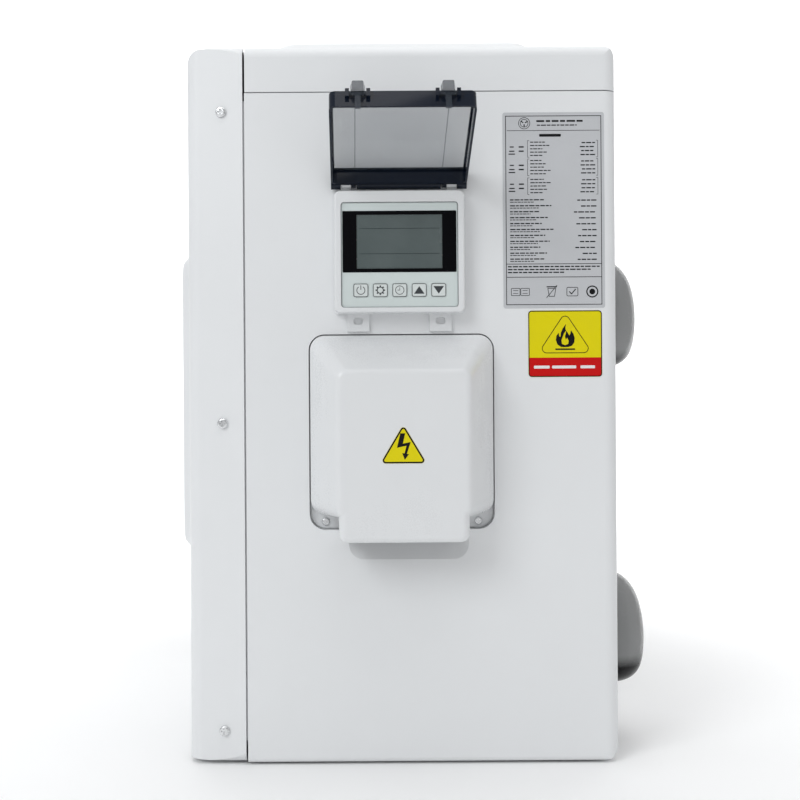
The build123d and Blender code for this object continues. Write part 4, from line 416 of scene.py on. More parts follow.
@dataclass(frozen=True)
class SmokedWindow(Smoked):
    """The controller's window: a clear plate inside a dark moulded skirt."""

    hinge: Place = (0.451, -0.00235, 0.4786)
    lean: float = 24.0
    length: Point = (7.0 * MM, 104.6 * MM)
    half: float = 52.6 * MM
    rib: float = 36.0 * MM

    def thickness(self, graph: Graph, at: Socket) -> Socket:
        """Returns 0 on the plate and 1 on the skirt round it, measured along the open window."""
        turn = math.radians(self.lean)
        reach = graph.node(
            "ShaderNodeVectorMath", {"operation": "SUBTRACT"}, {0: at, 1: self.hinge}
        )
        along = graph.node(
            "ShaderNodeVectorMath",
            {"operation": "DOT_PRODUCT"},
            {0: reach, 1: (math.cos(turn), 0.0, math.sin(turn))},
            "Value",
        )
        across = graph.split(reach, "Y").plain()
        soft = 0.8 * MM
        sides = graph.spread(across, self.half, self.half + soft)
        far = graph.spread(along, self.length[1], self.length[1] + soft)
        near = graph.spread(along, self.length[0] - soft, self.length[0], (1.0, 0.0))
        gap = (across - self.rib).plain()
        rib = graph.spread(gap, 0.15 * MM, 0.45 * MM, (0.35, 0.0))
        return sides.most(far).most(near).most(rib)


@dataclass(frozen=True)
class SmokedHood(Smoked):
    """A water port's hood, which darkens towards its foot."""

    feet: tuple[Point, ...] = ((0.068, 0.080), (0.334, 0.346))

    def thickness(self, graph: Graph, at: Socket) -> Socket:
        """Returns 1 at the foot of each hood and 0 higher up."""
        high = graph.split(at, "Z")
        lower = graph.spread(high, *self.feet[0], (1.0, 0.0))
        upper = graph.spread(high, *self.feet[1], (1.0, 0.0)) * high.above(0.25)
        return lower.most(upper)


@dataclass(frozen=True)
class Metal(Finish):
    """Bare or plated metal: drawn, brushed, or dulled by air."""

    brush: Place = (1.0, 1.0, 1.0)
    brush_size: float = 0.8 * MM
    tarnish: Colour = (0.3, 0.28, 0.26)
    tarnished: float = 0.25
    metallic: float = 1.0
    depth: float = 0.01 * MM

    def make(self, graph: Graph) -> bpy.types.Material:
        """Strokes along one axis with clouds of tarnish that are rougher."""
        at = graph.place()
        stroke = graph.noise(graph.stretched(at, self.brush), self.brush_size, 3.0, 0.6)
        cloud = graph.noise(at, 0.012, 4.0, 0.65)
        dull = graph.spread(cloud, 0.45, 0.75) * self.tarnished
        tone = graph.mix(graph.spread(stroke, 0.3, 0.7, (0.0, 0.18)), self.colour, (0.25, 0.25, 0.26))
        return graph.surface(
            {
                "Base Color": graph.mix(dull, tone, self.tarnish),
                "Metallic": self.metallic,
                "Roughness": graph.spread(stroke, 0.3, 0.7, (self.roughness - 0.05, self.roughness + 0.08))
                + dull * 0.4,
                "Normal": graph.bump(stroke, self.depth),
            }
        )


@dataclass(frozen=True)
class Galvanised(Finish):
    """Zinc-dipped sheet with its crystal spangle."""

    spangle: float = 0.009

    def make(self, graph: Graph) -> bpy.types.Material:
        """Cells of differing brightness and polish, with a white bloom."""
        at = graph.place()
        warp = graph.node(
            "ShaderNodeVectorMath",
            {"operation": "MULTIPLY_ADD"},
            {0: graph.node("ShaderNodeTexNoise", {}, {"Vector": at, "Scale": 120.0}, "Color"),
             1: (0.004, 0.004, 0.004), 2: at},
        )
        patch = graph.split(graph.cells(warp, self.spangle, "Color"), "X")
        bloom = graph.spread(graph.noise(at, 0.04, 4.0), 0.5, 0.8, (0.0, 0.35))
        tone = graph.mix(patch, self.colour, (0.42, 0.44, 0.46))
        return graph.surface(
            {
                "Base Color": graph.mix(bloom, tone, (0.62, 0.63, 0.63)),
                "Metallic": 0.9 - bloom,
                "Roughness": graph.spread(patch, 0.0, 1.0, (self.roughness - 0.08, self.roughness + 0.12)),
                "Normal": graph.bump(patch, 0.01 * MM),
            }
        )


@dataclass(frozen=True)
class Fins(Finish):
    """A pack of thin coated fins seen edge-on."""

    pitch: float = 2.0 * MM
    row: float = 25 * MM

    def make(self, graph: Graph) -> bpy.types.Material:
        """Bright fin edges with painted shade in the gaps between them, crossed by the painted shade of the
        tube rows.
        """
        at = graph.place()
        along = graph.split(at, "X") * (math.tau / self.pitch)
        wave = graph.node("ShaderNodeMath", {"operation": "SINE"}, {0: along})
        edge = graph.spread(wave, -0.35, 0.45)
        rows = graph.node(
            "ShaderNodeMath", {"operation": "SINE"}, {0: graph.split(at, "Z") * (math.tau / self.row)}
        )
        # painted shade: darker bands along the tube rows
        tube = graph.spread(rows, 0.55, 0.95, (0.0, 0.5))
        knocks = graph.spread(graph.noise(graph.stretched(at, (1.0, 1.0, 0.3)), 0.006, 3.0), 0.62, 0.72)
        bright = graph.mix(knocks, self.colour, (0.75, 0.80, 0.83))
        # painted shade: the gaps between the fins are coloured near-black where shade falls into them
        shade = graph.mix(edge, (0.02, 0.03, 0.035), bright)
        return graph.surface(
            {
                "Base Color": graph.mix(tube, shade, (0.02, 0.025, 0.03)),
                "Metallic": 0.7,
                "Roughness": graph.spread(wave, -1.0, 1.0, (0.6, self.roughness)),
                "Normal": graph.bump(edge, 0.3 * MM, 0.6),
            }
        )


@dataclass(frozen=True)
class Circuit(Finish):
    """A lacquered circuit board with tracks and pads."""

    def make(self, graph: Graph) -> bpy.types.Material:
        """Tracks from a fine brick pattern, pads from cells, under gloss lacquer."""
        at = graph.place()
        tracks = graph.node(
            "ShaderNodeTexBrick",
            {},
            {"Vector": at, "Scale": 90.0, "Mortar Size": 0.018, "Color1": (1.0, 1.0, 1.0),
             "Color2": (0.6, 0.6, 0.6), "Mortar": (0.0, 0.0, 0.0)},
            "Color",
        )
        pads = graph.spread(graph.cells(at, 0.005), 0.14, 0.18, (1.0, 0.0))
        base = graph.mix(0.35, self.colour, tracks, "MULTIPLY")
        return graph.surface(
            {
                "Base Color": graph.mix(pads, base, (0.62, 0.60, 0.52)),
                "Metallic": pads * 0.9,
                "Roughness": self.roughness + pads * 0.15,
                "Coat Weight": 0.4,
                "Normal": graph.bump(graph.split(tracks, "X"), 0.03 * MM, 0.5),
            }
        )


@dataclass(frozen=True)
class Printed(Finish):
    """Ink or label stock: a thin even film with a slight texture."""

    sparkle: float = 0.0
    metallic: float = 0.0
    coat: float = 0.02
    specular: float = 0.08

    def make(self, graph: Graph) -> bpy.types.Material:
        """A faint screen texture, a slow tone change and a laminate's gloss."""
        at = graph.place()
        screen = graph.noise(at, 0.35 * MM, 2.0)
        cloud = graph.noise(at, 0.02, 2.0)
        body = graph.mix(
            graph.spread(screen, 0.3, 0.7, (0.0, 0.008 + self.sparkle)), self.colour, (0.9, 0.9, 0.9)
        )
        return graph.surface(
            {
                "Base Color": graph.mix(graph.spread(cloud, 0.3, 0.7, (0.0, 0.03)), body, (0.1, 0.1, 0.1)),
                "Metallic": self.metallic,
                "Specular IOR Level": self.specular,
                "Roughness": graph.spread(cloud, 0.3, 0.7, (self.roughness - 0.04, self.roughness + 0.05)),
                "Coat Weight": self.coat,
                "Coat Roughness": 0.2,
                "Normal": graph.bump(screen, 0.01 * MM),
            }
        )


@dataclass(frozen=True)
class Display(Finish):
    """An unlit liquid-crystal panel under a clear window."""

    def make(self, graph: Graph) -> bpy.types.Material:
        """A grey-green field with a faint random change of tone, and a faint pixel weave."""
        at = graph.place()
        weave = graph.node(
            "ShaderNodeMath", {"operation": "SINE"}, {0: graph.split(at, "Z") * (math.tau / (0.5 * MM))}
        )
        cloud = graph.noise(at, 0.03, 2.0)
        field_tone = graph.mix(graph.spread(cloud, 0.3, 0.7, (0.0, 0.3)), self.colour, (0.12, 0.145, 0.145))
        lines = graph.spread(weave, -1.0, 1.0, (0.0, 0.06))
        return graph.surface(
            {
                "Base Color": graph.mix(lines, field_tone, (0.02, 0.03, 0.03)),
                "Roughness": graph.spread(cloud, 0.3, 0.7, (self.roughness, self.roughness + 0.06)),
                "Coat Weight": 0.3,
                "Coat Roughness": 0.05,
            }
        )


class Look(Enum):
    """The finishes of the unit, by what wears them."""

    CASING = Moulded("casing white", (0.77, 0.78, 0.79), 0.40, 1.1 * MM, 0.05 * MM, 0.012, 0.03)
    COVER = Moulded("cover white", (0.74, 0.75, 0.76), 0.28, 0.7 * MM, 0.02 * MM, 0.012, 0.02, 0.15)
    FRAME = Moulded("controller frame", (0.74, 0.75, 0.76), 0.28, 0.6 * MM, 0.015 * MM, 0.01, 0.02, 0.2)
    FACIA = Moulded("controller facia", (0.62, 0.68, 0.67), 0.38, 0.5 * MM, 0.015 * MM, 0.01)
    KEY = Moulded("key cap", (0.66, 0.70, 0.69), 0.33, 0.4 * MM, 0.01 * MM, 0.01, 0.0, 0.1)
    BLACK_GLOSS = Moulded(
        "bezel black", (0.001, 0.001, 0.002), 0.3, 0.5 * MM, 0.004 * MM, 0.02, coat=0.04, specular=0.06
    )
    BLACK = Moulded("moulded black", (0.022, 0.022, 0.024), 0.5, 0.8 * MM, 0.04 * MM, 0.05)
    GRILLE = Moulded("grille grey", (0.045, 0.048, 0.052), 0.45, 0.9 * MM, 0.04 * MM, 0.05, 0.05, 0.0, 0.15)
    ROTOR = Moulded("rotor black", (0.02, 0.02, 0.022), 0.38, 0.9 * MM, 0.03 * MM, 0.06, 0.1)
    RUBBER = Moulded("rubber", (0.018, 0.018, 0.018), 0.78, 1.2 * MM, 0.08 * MM, 0.08, 0.0, 0.0, 0.3, 0.3)
    PIPE_GREY = Moulded("pipe grey", (0.16, 0.17, 0.18), 0.36, 1.0 * MM, 0.02 * MM, 0.03, 0.04)
    WINDOW = SmokedWindow("smoked window", (0.08, 0.10, 0.125), 0.05)
    LATCH = Smoked("smoked latch", (0.05, 0.06, 0.075), 0.10, (0.01, 0.012, 0.02), (0.50, 0.3))
    HOOD = SmokedHood(
        "port hood",
        (0.34, 0.345, 0.345),
        0.22,
        deep=(0.001, 0.001, 0.002),
        clearness=(0.30, 0.0),
        marks=0.10,
        specular=0.10,
        coat=0.04,
    )
    ZINC = Metal("bright zinc", (0.78, 0.79, 0.80), 0.24, (1.0, 1.0, 0.3), 0.5 * MM, (0.45, 0.44, 0.42), 0.2)
    SHEET = Galvanised("galvanised sheet", (0.60, 0.62, 0.64), 0.38)
    COPPER = Metal(
        "dulled copper", (0.72, 0.38, 0.24), 0.30, (1.0, 1.0, 0.2), 0.9 * MM, (0.20, 0.10, 0.06), 0.55
    )
    BRASS = Metal("brass", (0.75, 0.55, 0.26), 0.30, (1.0, 1.0, 0.4), 0.6 * MM, (0.30, 0.20, 0.08), 0.35)
    TITANIUM = Metal("titanium", (0.50, 0.48, 0.46), 0.35, (1.0, 1.0, 0.3), 0.8 * MM, (0.30, 0.30, 0.36), 0.3)
    BLACK_STEEL = Metal(
        "black enamel",
        (0.02, 0.02, 0.02),
        0.34,
        brush_size=1.5 * MM,
        tarnish=(0.05, 0.05, 0.05),
        tarnished=0.3,
        metallic=0.1,
        depth=0.04 * MM,
    )
    MOTOR = Metal(
        "motor enamel",
        (0.20, 0.22, 0.24),
        0.42,
        brush_size=1.5 * MM,
        tarnish=(0.12, 0.12, 0.12),
        tarnished=0.3,
        metallic=0.2,
        depth=0.04 * MM,
    )
    WIRE = Moulded("coated wire", (0.70, 0.71, 0.72), 0.40, 1.4 * MM, 0.05 * MM, 0.03, 0.0, 0.1, 0.2)
    FIN = Fins("coated fins", (0.42, 0.60, 0.70), 0.35)
    BOARD = Circuit("circuit board", (0.02, 0.16, 0.06), 0.32)
    LCD = Display("unlit display", (0.075, 0.098, 0.098), 0.22)
    PLATE = Printed("rating plate stock", (0.55, 0.56, 0.58), 0.34, 0.06, 0.15)
    YELLOW = Printed("yellow stock", (0.74, 0.64, 0.003), 0.36)
    RED = Printed("red ink", (0.56, 0.004, 0.004), 0.36)
    INK = Printed("black ink", (0.004, 0.004, 0.005), 0.42)
    GREY_INK = Printed("grey ink", (0.055, 0.06, 0.065), 0.45)
    WHITE_INK = Printed("white ink", (0.80, 0.80, 0.80), 0.45)
    SEGMENT = Printed("display segments", (0.035, 0.048, 0.048), 0.3)
    FLOOR = Moulded("studio floor", (0.93, 0.93, 0.93), 0.8, 4.0 * MM, 0.02 * MM, 0.004)


# ---------------------------------------------------------------- flat shapes


def rounded(points: Sequence[Point], radius: float, steps: int = 6) -> Outline:
    """Rounds the corners of a convex outline.

    Args:
        points: its corners, in order.
        radius: the corner radius.
        steps: how many runs make one corner.

    Returns:
        The rounded outline.
    """
    made: Outline = []
    count = len(points)
    for step in range(count):
        corner = Vector(points[step])
        back = (Vector(points[step - 1]) - corner).normalized()
        on = (Vector(points[(step + 1) % count]) - corner).normalized()
        half = back.angle(on) / 2
        reach = radius / math.tan(half)
        centre = corner + (back + on).normalized() * (radius / math.sin(half))
        first = corner + back * reach - centre
        last = corner + on * reach - centre
        for part in range(steps + 1):
            spoke = first.lerp(last, part / steps).normalized() * radius
            made.append(tuple(centre + spoke))
    return made


def block(y: float, z: float, wide: float, high: float, radius: float = 0.0) -> Outline:
    """A rectangle about a centre, with rounded corners if it has a radius.

    Args:
        y: the centre along the end face.
        z: the centre's height.
        wide: the width.
        high: the height.
        radius: the corner radius.

    Returns:
        The outline.
    """
    corners = [
        (y - wide / 2, z - high / 2),
        (y + wide / 2, z - high / 2),
        (y + wide / 2, z + high / 2),
        (y - wide / 2, z + high / 2),
    ]
    return rounded(corners, radius) if radius else corners


def disc(y: float, z: float, radius: float, count: int = 32) -> Outline:
    """A circle about a centre.

    Args:
        y: the centre along the end face.
        z: the centre's height.
        radius: the radius.
        count: how many points it has.

    Returns:
        The outline.
    """
    turns = [math.tau * step / count for step in range(count)]
    return [(y + radius * math.cos(turn), z + radius * math.sin(turn)) for turn in turns]


def drawn_in(outline: Outline, width: float) -> Outline:
    """The same outline drawn in by a width all round.

    Args:
        outline: points in order, anticlockwise.
        width: how far in.

    Returns:
        The smaller outline.
    """
    made: Outline = []
    count = len(outline)
    for step in range(count):
        before, here, after = (Vector(outline[(step + shift) % count]) for shift in (-1, 0, 1))
        first = Vector((-(here - before).y, (here - before).x)).normalized()
        second = Vector((-(after - here).y, (after - here).x)).normalized()
        inward = (first + second).normalized()
        made.append(tuple(here + inward * (width / max(0.3, inward.dot(first)))))
    return made


@dataclass
class Stencil:
    """Thin inked shapes laid on an upright face that looks along +X."""

    name: str
    face_x: float
    thick: float = 0.06 * MM
    lift: float = 0.0
    solids: list[Outline] = field(default_factory=list)
    rings: list[tuple[Outline, Outline]] = field(default_factory=list)

    def fill(self, outline: Outline) -> None:
        """Adds a filled shape."""
        self.solids.append(outline)

    def ring(self, outline: Outline, width: float) -> None:
        """Adds a closed line of a width along an outline's inside."""
        self.rings.append((outline, drawn_in(outline, width)))

    def line(self, first: Point, last: Point, width: float) -> None:
        """Adds a straight line between two points.

        Args:
            first: where it starts.
            last: where it ends.
            width: the line's width.
        """
        start, end = Vector(first), Vector(last)
        side = Vector((-(end - start).y, (end - start).x)).normalized() * (width / 2)
        self.solids.append([tuple(start - side), tuple(end - side), tuple(end + side), tuple(start + side)])

    def arc(self, centre: Point, radius: float, turns: Point, width: float, steps: int = 20) -> None:
        """Adds part of a circle's line.

        Args:
            centre: the circle's centre.
            radius: the line's middle radius.
            turns: where it starts and ends, in degrees.
            width: the line's width.
            steps: how many runs it has.
        """
        spokes = [math.radians(turns[0] + (turns[1] - turns[0]) * step / steps) for step in range(steps + 1)]
        for first, last in zip(spokes, spokes[1:]):
            self.solids.append(
                [
                    (centre[0] + reach * math.cos(turn), centre[1] + reach * math.sin(turn))
                    for reach, turn in (
                        (radius - width / 2, first),
                        (radius + width / 2, first),
                        (radius + width / 2, last),
                        (radius - width / 2, last),
                    )
                ]
            )

    def build(self, look: Look, body: str, material_slot: str) -> bpy.types.Object:
        """Makes one mesh of all the shapes and sets it on a body.

        Args:
            look: the ink.
            body: the body that it moves with.
            material_slot: not used.

        Returns:
            The print.
        """
        mesh = bmesh.new()
        back = self.face_x + self.lift
        front = back + self.thick
        for outline in self.solids:
            lows = [mesh.verts.new((back, y, z)) for y, z in outline]
            highs = [mesh.verts.new((front, y, z)) for y, z in outline]
            mesh.faces.new(highs)
            mesh.faces.new(lows[::-1])
            self._walls(mesh, lows, highs)
        for outer, inner in self.rings:
            loops = [
                [mesh.verts.new((x, y, z)) for y, z in outline]
                for outline, x in ((outer, back), (outer, front), (inner, front), (inner, back))
            ]
            for first, second in zip(loops, loops[1:] + loops[:1]):
                self._walls(mesh, first, second)
        bmesh.ops.recalc_face_normals(mesh, faces=mesh.faces)
        return settle(self.name, mesh, look, body)

    @staticmethod
    def _walls(mesh: bmesh.types.BMesh, first: list, second: list) -> None:
        """Joins two loops of points by a band of four-sided faces."""
        count = len(first)
        for step in range(count):
            on = (step + 1) % count
            mesh.faces.new((first[step], first[on], second[on], second[step]))


def settle(
    name: str, mesh: bmesh.types.BMesh, look: Look, body: str
) -> bpy.types.Object:
    """Turns a mesh in the making into a piece that rides on a body.

    Args:
        name: the piece's name.
        mesh: its shape, which is used up.
        look: its finish.
        body: the body that it moves with.

    Returns:
        The piece.
    """
    data = bpy.data.meshes.new(name)
    mesh.to_mesh(data)
    mesh.free()
    data.materials.append(look.value.shaded())
    made = bpy.data.objects.new(name, data)
    bpy.context.scene.collection.objects.link(made)
    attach(made, body)
    LOG.info("piece %s: %d faces on %s", name, len(data.polygons), body)
    return made


def dress(frame: dict[str, Any], looks: dict[str, Look]) -> None:
    """Gives carried-over parts their finishes.

    Args:
        frame: the loaded frame.
        looks: the finish of each part by name.
    """
    for name, look in looks.items():
        part = frame["nodes"][name]
        if not part.material_slots:
            part.data.materials.append(None)
        for place in part.material_slots:
            place.material = look.value.shaded()
        LOG.info("part %s: %s", name, look.value.name)


# ---------------------------------------------------------------- sub-assemblies


@dataclass
class Casing:
    """The moulded panels, their screws, the tray and the rails."""

    frame: dict[str, Any]

    def build(self) -> None:
        """Dresses the outer shell."""
        dress(
            self.frame,
            {
                "front_panel": Look.CASING,
                "lid": Look.CASING,
                "left_end_panel": Look.CASING,
                "right_end_panel": Look.CASING,
                "base_tray": Look.SHEET,
                "foot_rails": Look.RUBBER,
                "partition_panel": Look.SHEET,
                "front_panel_screws": Look.ZINC,
                "casing_screws": Look.ZINC,
                "small_screws": Look.ZINC,
                "rear_guard": Look.WIRE,
                "fan_grille": Look.GRILLE,
                "fan_shroud": Look.BLACK,
            },
        )


@dataclass
class WiringCover:
    """The bulged cover over the terminals, its cable glands and its shock sign."""

    frame: dict[str, Any]
    sign: Point = (37.0 * MM, 31.0 * MM)
    corner: float = 2.5 * MM
    border: float = 1.2 * MM

    def build(self) -> None:
        """Dresses the cover and prints its sign."""
        dress(
            self.frame,
            {
                "wiring_cover": Look.COVER,
                "terminal_block": Look.BLACK,
                "terminal_screws": Look.BRASS,
                "gland_bracket": Look.SHEET,
                "cable_glands": Look.BLACK,
                "shock_label": Look.YELLOW,
            },
        )
        low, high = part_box("shock_label")
        middle, foot = (low.y + high.y) / 2, low.z
        half, tall = self.sign[0] / 2, self.sign[1]
        sign = Stencil("shock_sign_print", high.x)
        corners = [(middle - half, foot), (middle + half, foot), (middle, foot + tall)]
        sign.ring(drawn_in(rounded(corners, self.corner, 8), 0.12 * MM), self.border)
        for outline in self.bolt(middle, foot + 0.44 * tall, 0.33 * tall):
            sign.fill(outline)
        sign.build(Look.INK, "casing", "label_yellow")

    @staticmethod
    def bolt(y: float, z: float, reach: float) -> list[Outline]:
        """The zigzag spark of the shock sign.

        Args:
            y: its middle along the end face.
            z: its middle height.
            reach: half of its height.

        Returns:
            Its outlines.
        """
        spark = [
            (-0.24, 1.0), (0.14, 1.0), (-0.04, 0.20), (0.56, 0.32),
            (0.26, -0.60), (0.08, -0.56), (0.24, 0.04), (-0.50, -0.12),
        ]
        head = [(-0.10, -0.52), (0.42, -0.62), (0.10, -1.05)]
        return [[(y + reach * a, z + reach * b) for a, b in outline] for outline in (spark, head)]


@dataclass
class Controller:
    """The frame, facia, display and keys, and the smoked window that swings over them."""

    frame: dict[str, Any]
    line: float = 0.42 * MM
    keys: tuple[str, ...] = ("power", "mode", "timer", "up", "down")

    def build(self) -> None:
        """Dresses the controller and prints its keys and display."""
        looks = {
            "control_frame": Look.FRAME,
            "control_module": Look.FACIA,
            "display_bezel": Look.BLACK_GLOSS,
            "lcd_panel": Look.LCD,
            "keypad_board": Look.BOARD,
            "control_window": Look.WINDOW,
            "window_latch_left": Look.LATCH,
            "window_latch_right": Look.LATCH,
            "hinge_pins": Look.ZINC,
        }
        dress(self.frame, looks | {f"{key}_key": Look.KEY for key in self.keys})
        for key in self.keys:
            self.print_key(key)
        self.print_display()

    def print_key(self, key: str) -> None:
        """Prints one key's outline and its symbol.

        Args:
            key: power, mode, timer, up or down.
        """
        low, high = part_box(f"{key}_key")
        middle = ((low.y + high.y) / 2, (low.z + high.z) / 2)
        ink = Stencil(f"{key}_key_print", high.x)
        ink.ring(block(*middle, 11.7 * MM, 10.6 * MM, 1.4 * MM), 0.38 * MM)
        getattr(self, f"draw_{key}")(ink, middle)
        ink.build(Look.GREY_INK, f"{key}_button", "key_cap")

    def draw_power(self, ink: Stencil, at: Point) -> None:
        """Draws a ring that is open at the top, with a bar in the gap."""
        ink.arc(at, 3.3 * MM, (122, 418), 1.4 * self.line)
        ink.line((at[0], at[1] + 0.5 * MM), (at[0], at[1] + 4.0 * MM), 1.4 * self.line)

    def draw_mode(self, ink: Stencil, at: Point) -> None:
        """Draws a toothed wheel."""
        ink.ring(disc(*at, 2.9 * MM), 0.75 * MM)
        for step in range(8):
            turn = math.tau * step / 8
            spoke = Vector((math.cos(turn), math.sin(turn)))
            ink.line(
                tuple(Vector(at) + spoke * 2.85 * MM), tuple(Vector(at) + spoke * 3.9 * MM), 1.15 * MM
            )

    def draw_timer(self, ink: Stencil, at: Point) -> None:
        """Draws a clock face with two hands."""
        ink.ring(disc(*at, 3.7 * MM), 1.2 * self.line)
        ink.line(at, (at[0], at[1] + 2.3 * MM), self.line)
        ink.line((at[0] + 0.2 * MM, at[1]), (at[0] - 1.9 * MM, at[1]), self.line)

    def draw_up(self, ink: Stencil, at: Point) -> None:
        """Draws a filled triangle that points up."""
        wide, high = 4.3 * MM, 3.1 * MM
        ink.fill([(at[0] - wide, at[1] - high), (at[0] + wide, at[1] - high), (at[0], at[1] + high)])

    def draw_down(self, ink: Stencil, at: Point) -> None:
        """Draws a filled triangle that points down."""
        wide, high = 4.3 * MM, 3.1 * MM
        ink.fill([(at[0] - wide, at[1] + high), (at[0], at[1] - high), (at[0] + wide, at[1] + high)])

    def print_display(self) -> None:
        """Draws the two rules across the display."""
        low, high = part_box("lcd_panel")
        rules = Stencil("display_rules", high.x)
        wide = high.y - low.y
        for share in (0.275, 0.745):
            z = low.z + share * (high.z - low.z)
            rules.line((low.y + 0.03 * wide, z), (high.y - 0.03 * wide, z), 0.45 * MM)
        rules.build(Look.SEGMENT, "casing", "lcd")


@dataclass
class Labels:
    """The rating plate and the refrigerant sign on the serviced end, with bars in place of words."""

    frame: dict[str, Any]
    rows: tuple[float, ...] = (0.62, 0.86, 0.48, 0.74, 0.55, 0.92, 0.66, 0.80, 0.50, 0.71)
    margin: Point = (2.3 * MM, 2.7 * MM)
    group_drops: tuple[float, ...] = (24.6 * MM, 39.8 * MM, 55.4 * MM)
    group_rows: int = 5
    group_values: int = 4
    pair_count: int = 11
    pair_drop: float = 72.3 * MM
    pair_pitch: float = 4.9 * MM
    rule_heights: tuple[float, ...] = (36.6 * MM, 25.7 * MM)
    closing_height: float = 34.4 * MM
    closing_pitch: float = 2.4 * MM
    closing_lengths: tuple[float, ...] = (76 * MM, 70 * MM, 48 * MM)
    symbol_height: float = 13.5 * MM
    gas_rim: float = 0.8 * MM
    gas_band: float = 16.0 * MM
    gas_flame: float = 10.4 * MM

    def build(self) -> None:
        """Dresses and prints both labels."""
        dress(self.frame, {"rating_label": Look.PLATE, "gas_label": Look.YELLOW})
        self.print_rating()
        self.print_gas()

    def share(self, step: int) -> float:
        """Returns one of the listed word lengths, starting over after the last."""
        return self.rows[step % len(self.rows)]

    def words(self, ink: Stencil, start: Point, long: float, high: float, seed: int) -> None:
        """Prints a row of short bars that reads as a line of small words.

        Args:
            ink: the stencil.
            start: the row's left end.
            long: how long the row is.
            high: how tall the bars are.
            seed: where in the list of word lengths the row starts.
        """
        y, step = start[0], seed
        while y < start[0] + long - high:
            word = min(5.2 * high * self.share(step), start[0] + long - y)
            ink.fill(block(y + word / 2, start[1], word, high, 0.25 * high))
            y += word + 0.75 * high
            step += 1

    def print_rating(self) -> None:
        """Fills the rating plate: border, heading, groups, rows, closing lines and symbols."""
        low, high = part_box("rating_label")
        ink = Stencil("rating_print", high.x)
        left, right, foot, top = low.y, high.y, low.z, high.z
        wide, tall = right - left - 2 * self.margin[0], top - foot - 2 * self.margin[1]
        ink.ring(block((left + right) / 2, (foot + top) / 2, wide, tall), 0.55 * MM)
        self.print_heading(ink, left, right, top)
        for step, drop in enumerate(self.group_drops):
            self.print_group(ink, left, right, top - drop, 2 * step)
        for step in range(self.pair_count):
            self.print_pair(ink, left, right, top - self.pair_drop - step * self.pair_pitch, step)
        self.print_closing(ink, left, right, foot)
        self.print_symbols(ink, left, foot + self.symbol_height)
        ink.build(Look.INK, "casing", "label_silver")

    def print_heading(self, ink: Stencil, left: float, right: float, top: float) -> None:
        """Prints the emblem, the two title rows, the rule below them and the heavy name bar.

        Args:
            ink: the stencil.
            left: the plate's left edge.
            right: its right edge.
            top: its top edge.
        """
        emblem = (left + 18 * MM, top - 8.9 * MM)
        for radius in (4.9, 3.4):
            ink.ring(disc(*emblem, radius * MM), 0.45 * MM)
        for turn in range(3):
            angle = math.tau * turn / 3 + 0.5
            spoke = Vector((math.cos(angle), math.sin(angle)))
            near, far = (tuple(Vector(emblem) + spoke * reach * MM) for reach in (0.8, 3))
            ink.line(near, far, 0.9 * MM)
        self.words(ink, (left + 28 * MM, top - 7.2 * MM), 41 * MM, 1.5 * MM, 1)
        self.words(ink, (left + 28.5 * MM, top - 10.6 * MM), 33 * MM, 0.9 * MM, 4)
        ink.line((left + 3.6 * MM, top - 15 * MM), (right - 3.6 * MM, top - 15 * MM), 0.4 * MM)
        ink.fill(block(left + 39.3 * MM, top - 19 * MM, 18 * MM, 2.3 * MM, 0.6 * MM))

    def print_closing(self, ink: Stencil, left: float, right: float, foot: float) -> None:
        """Prints three full rows of words between two rules.

        Args:
            ink: the stencil.
            left: the plate's left edge.
            right: its right edge.
            foot: its lower edge.
        """
        for rule in self.rule_heights:
            ink.line((left + 2.6 * MM, foot + rule), (right - 2.6 * MM, foot + rule), 0.5 * MM)
        for step, long in enumerate(self.closing_lengths):
            height = foot + self.closing_height - step * self.closing_pitch
            self.words(ink, (left + 3.8 * MM, height), long, 1.0 * MM, 3 * step)

    def print_group(self, ink: Stencil, left: float, right: float, start: float, seed: int) -> None:
        """Prints one bracketed group: two short entries, five rows and four values.

        Args:
            ink: the stencil.
            left: the plate's left edge.
            right: its right edge.
            start: the height of the first row.
            seed: which word lengths it uses.
        """
        for step in range(self.group_rows):
            z = start - step * 2.75 * MM
            long = (3 + 15 * self.share(seed + step)) * MM
            self.words(ink, (left + 22.8 * MM, z), long, 0.8 * MM, step)
        for step in range(self.group_values):
            z = start - (0.6 + step * 3.3) * MM
            long = (9 + 4 * self.share(seed + step + self.group_values)) * MM
            self.words(ink, (right - 7.4 * MM - long, z), long, 0.95 * MM, seed + step)
        for y, way in ((left + 20.6 * MM, 1), (right - 5.3 * MM, -1)):
            ink.line((y, start + 1.4 * MM), (y, start - 12.6 * MM), 0.32 * MM)
            ink.line((y, start + 1.3 * MM), (y + way * 1.4 * MM, start + 1.3 * MM), 0.32 * MM)
            ink.line((y, start - 12.5 * MM), (y + way * 1.4 * MM, start - 12.5 * MM), 0.32 * MM)
        for step, drop in enumerate((3.9, 7.4, 9.8)):
            z = start - drop * MM
            ink.fill(block(left + 7.6 * MM, z, (3.4 + step) * MM, 0.9 * MM, 0.2 * MM))
            if step < 2:
                ink.fill(block(left + 15.4 * MM, z, 4.2 * MM, 1.1 * MM, 0.2 * MM))

    def print_pair(self, ink: Stencil, left: float, right: float, z: float, step: int) -> None:
        """Prints a row of words with a fainter row under it, and a value at the right.

        Args:
            ink: the stencil.
            left: the plate's left edge.
            right: its right edge.
            z: the row's height.
            step: which row it is.
        """
        long = (12 + 26 * self.share(step)) * MM
        self.words(ink, (left + 5.8 * MM, z), long, 0.95 * MM, step)
        self.words(ink, (left + 5.8 * MM, z - 1.9 * MM), 0.7 * long, 0.65 * MM, step + 5)
        value = (4 + 16 * self.share(step + 3)) * MM
        self.words(ink, (right - 6.6 * MM - value, z - 0.5 * MM), value, 1.0 * MM, step + 2)

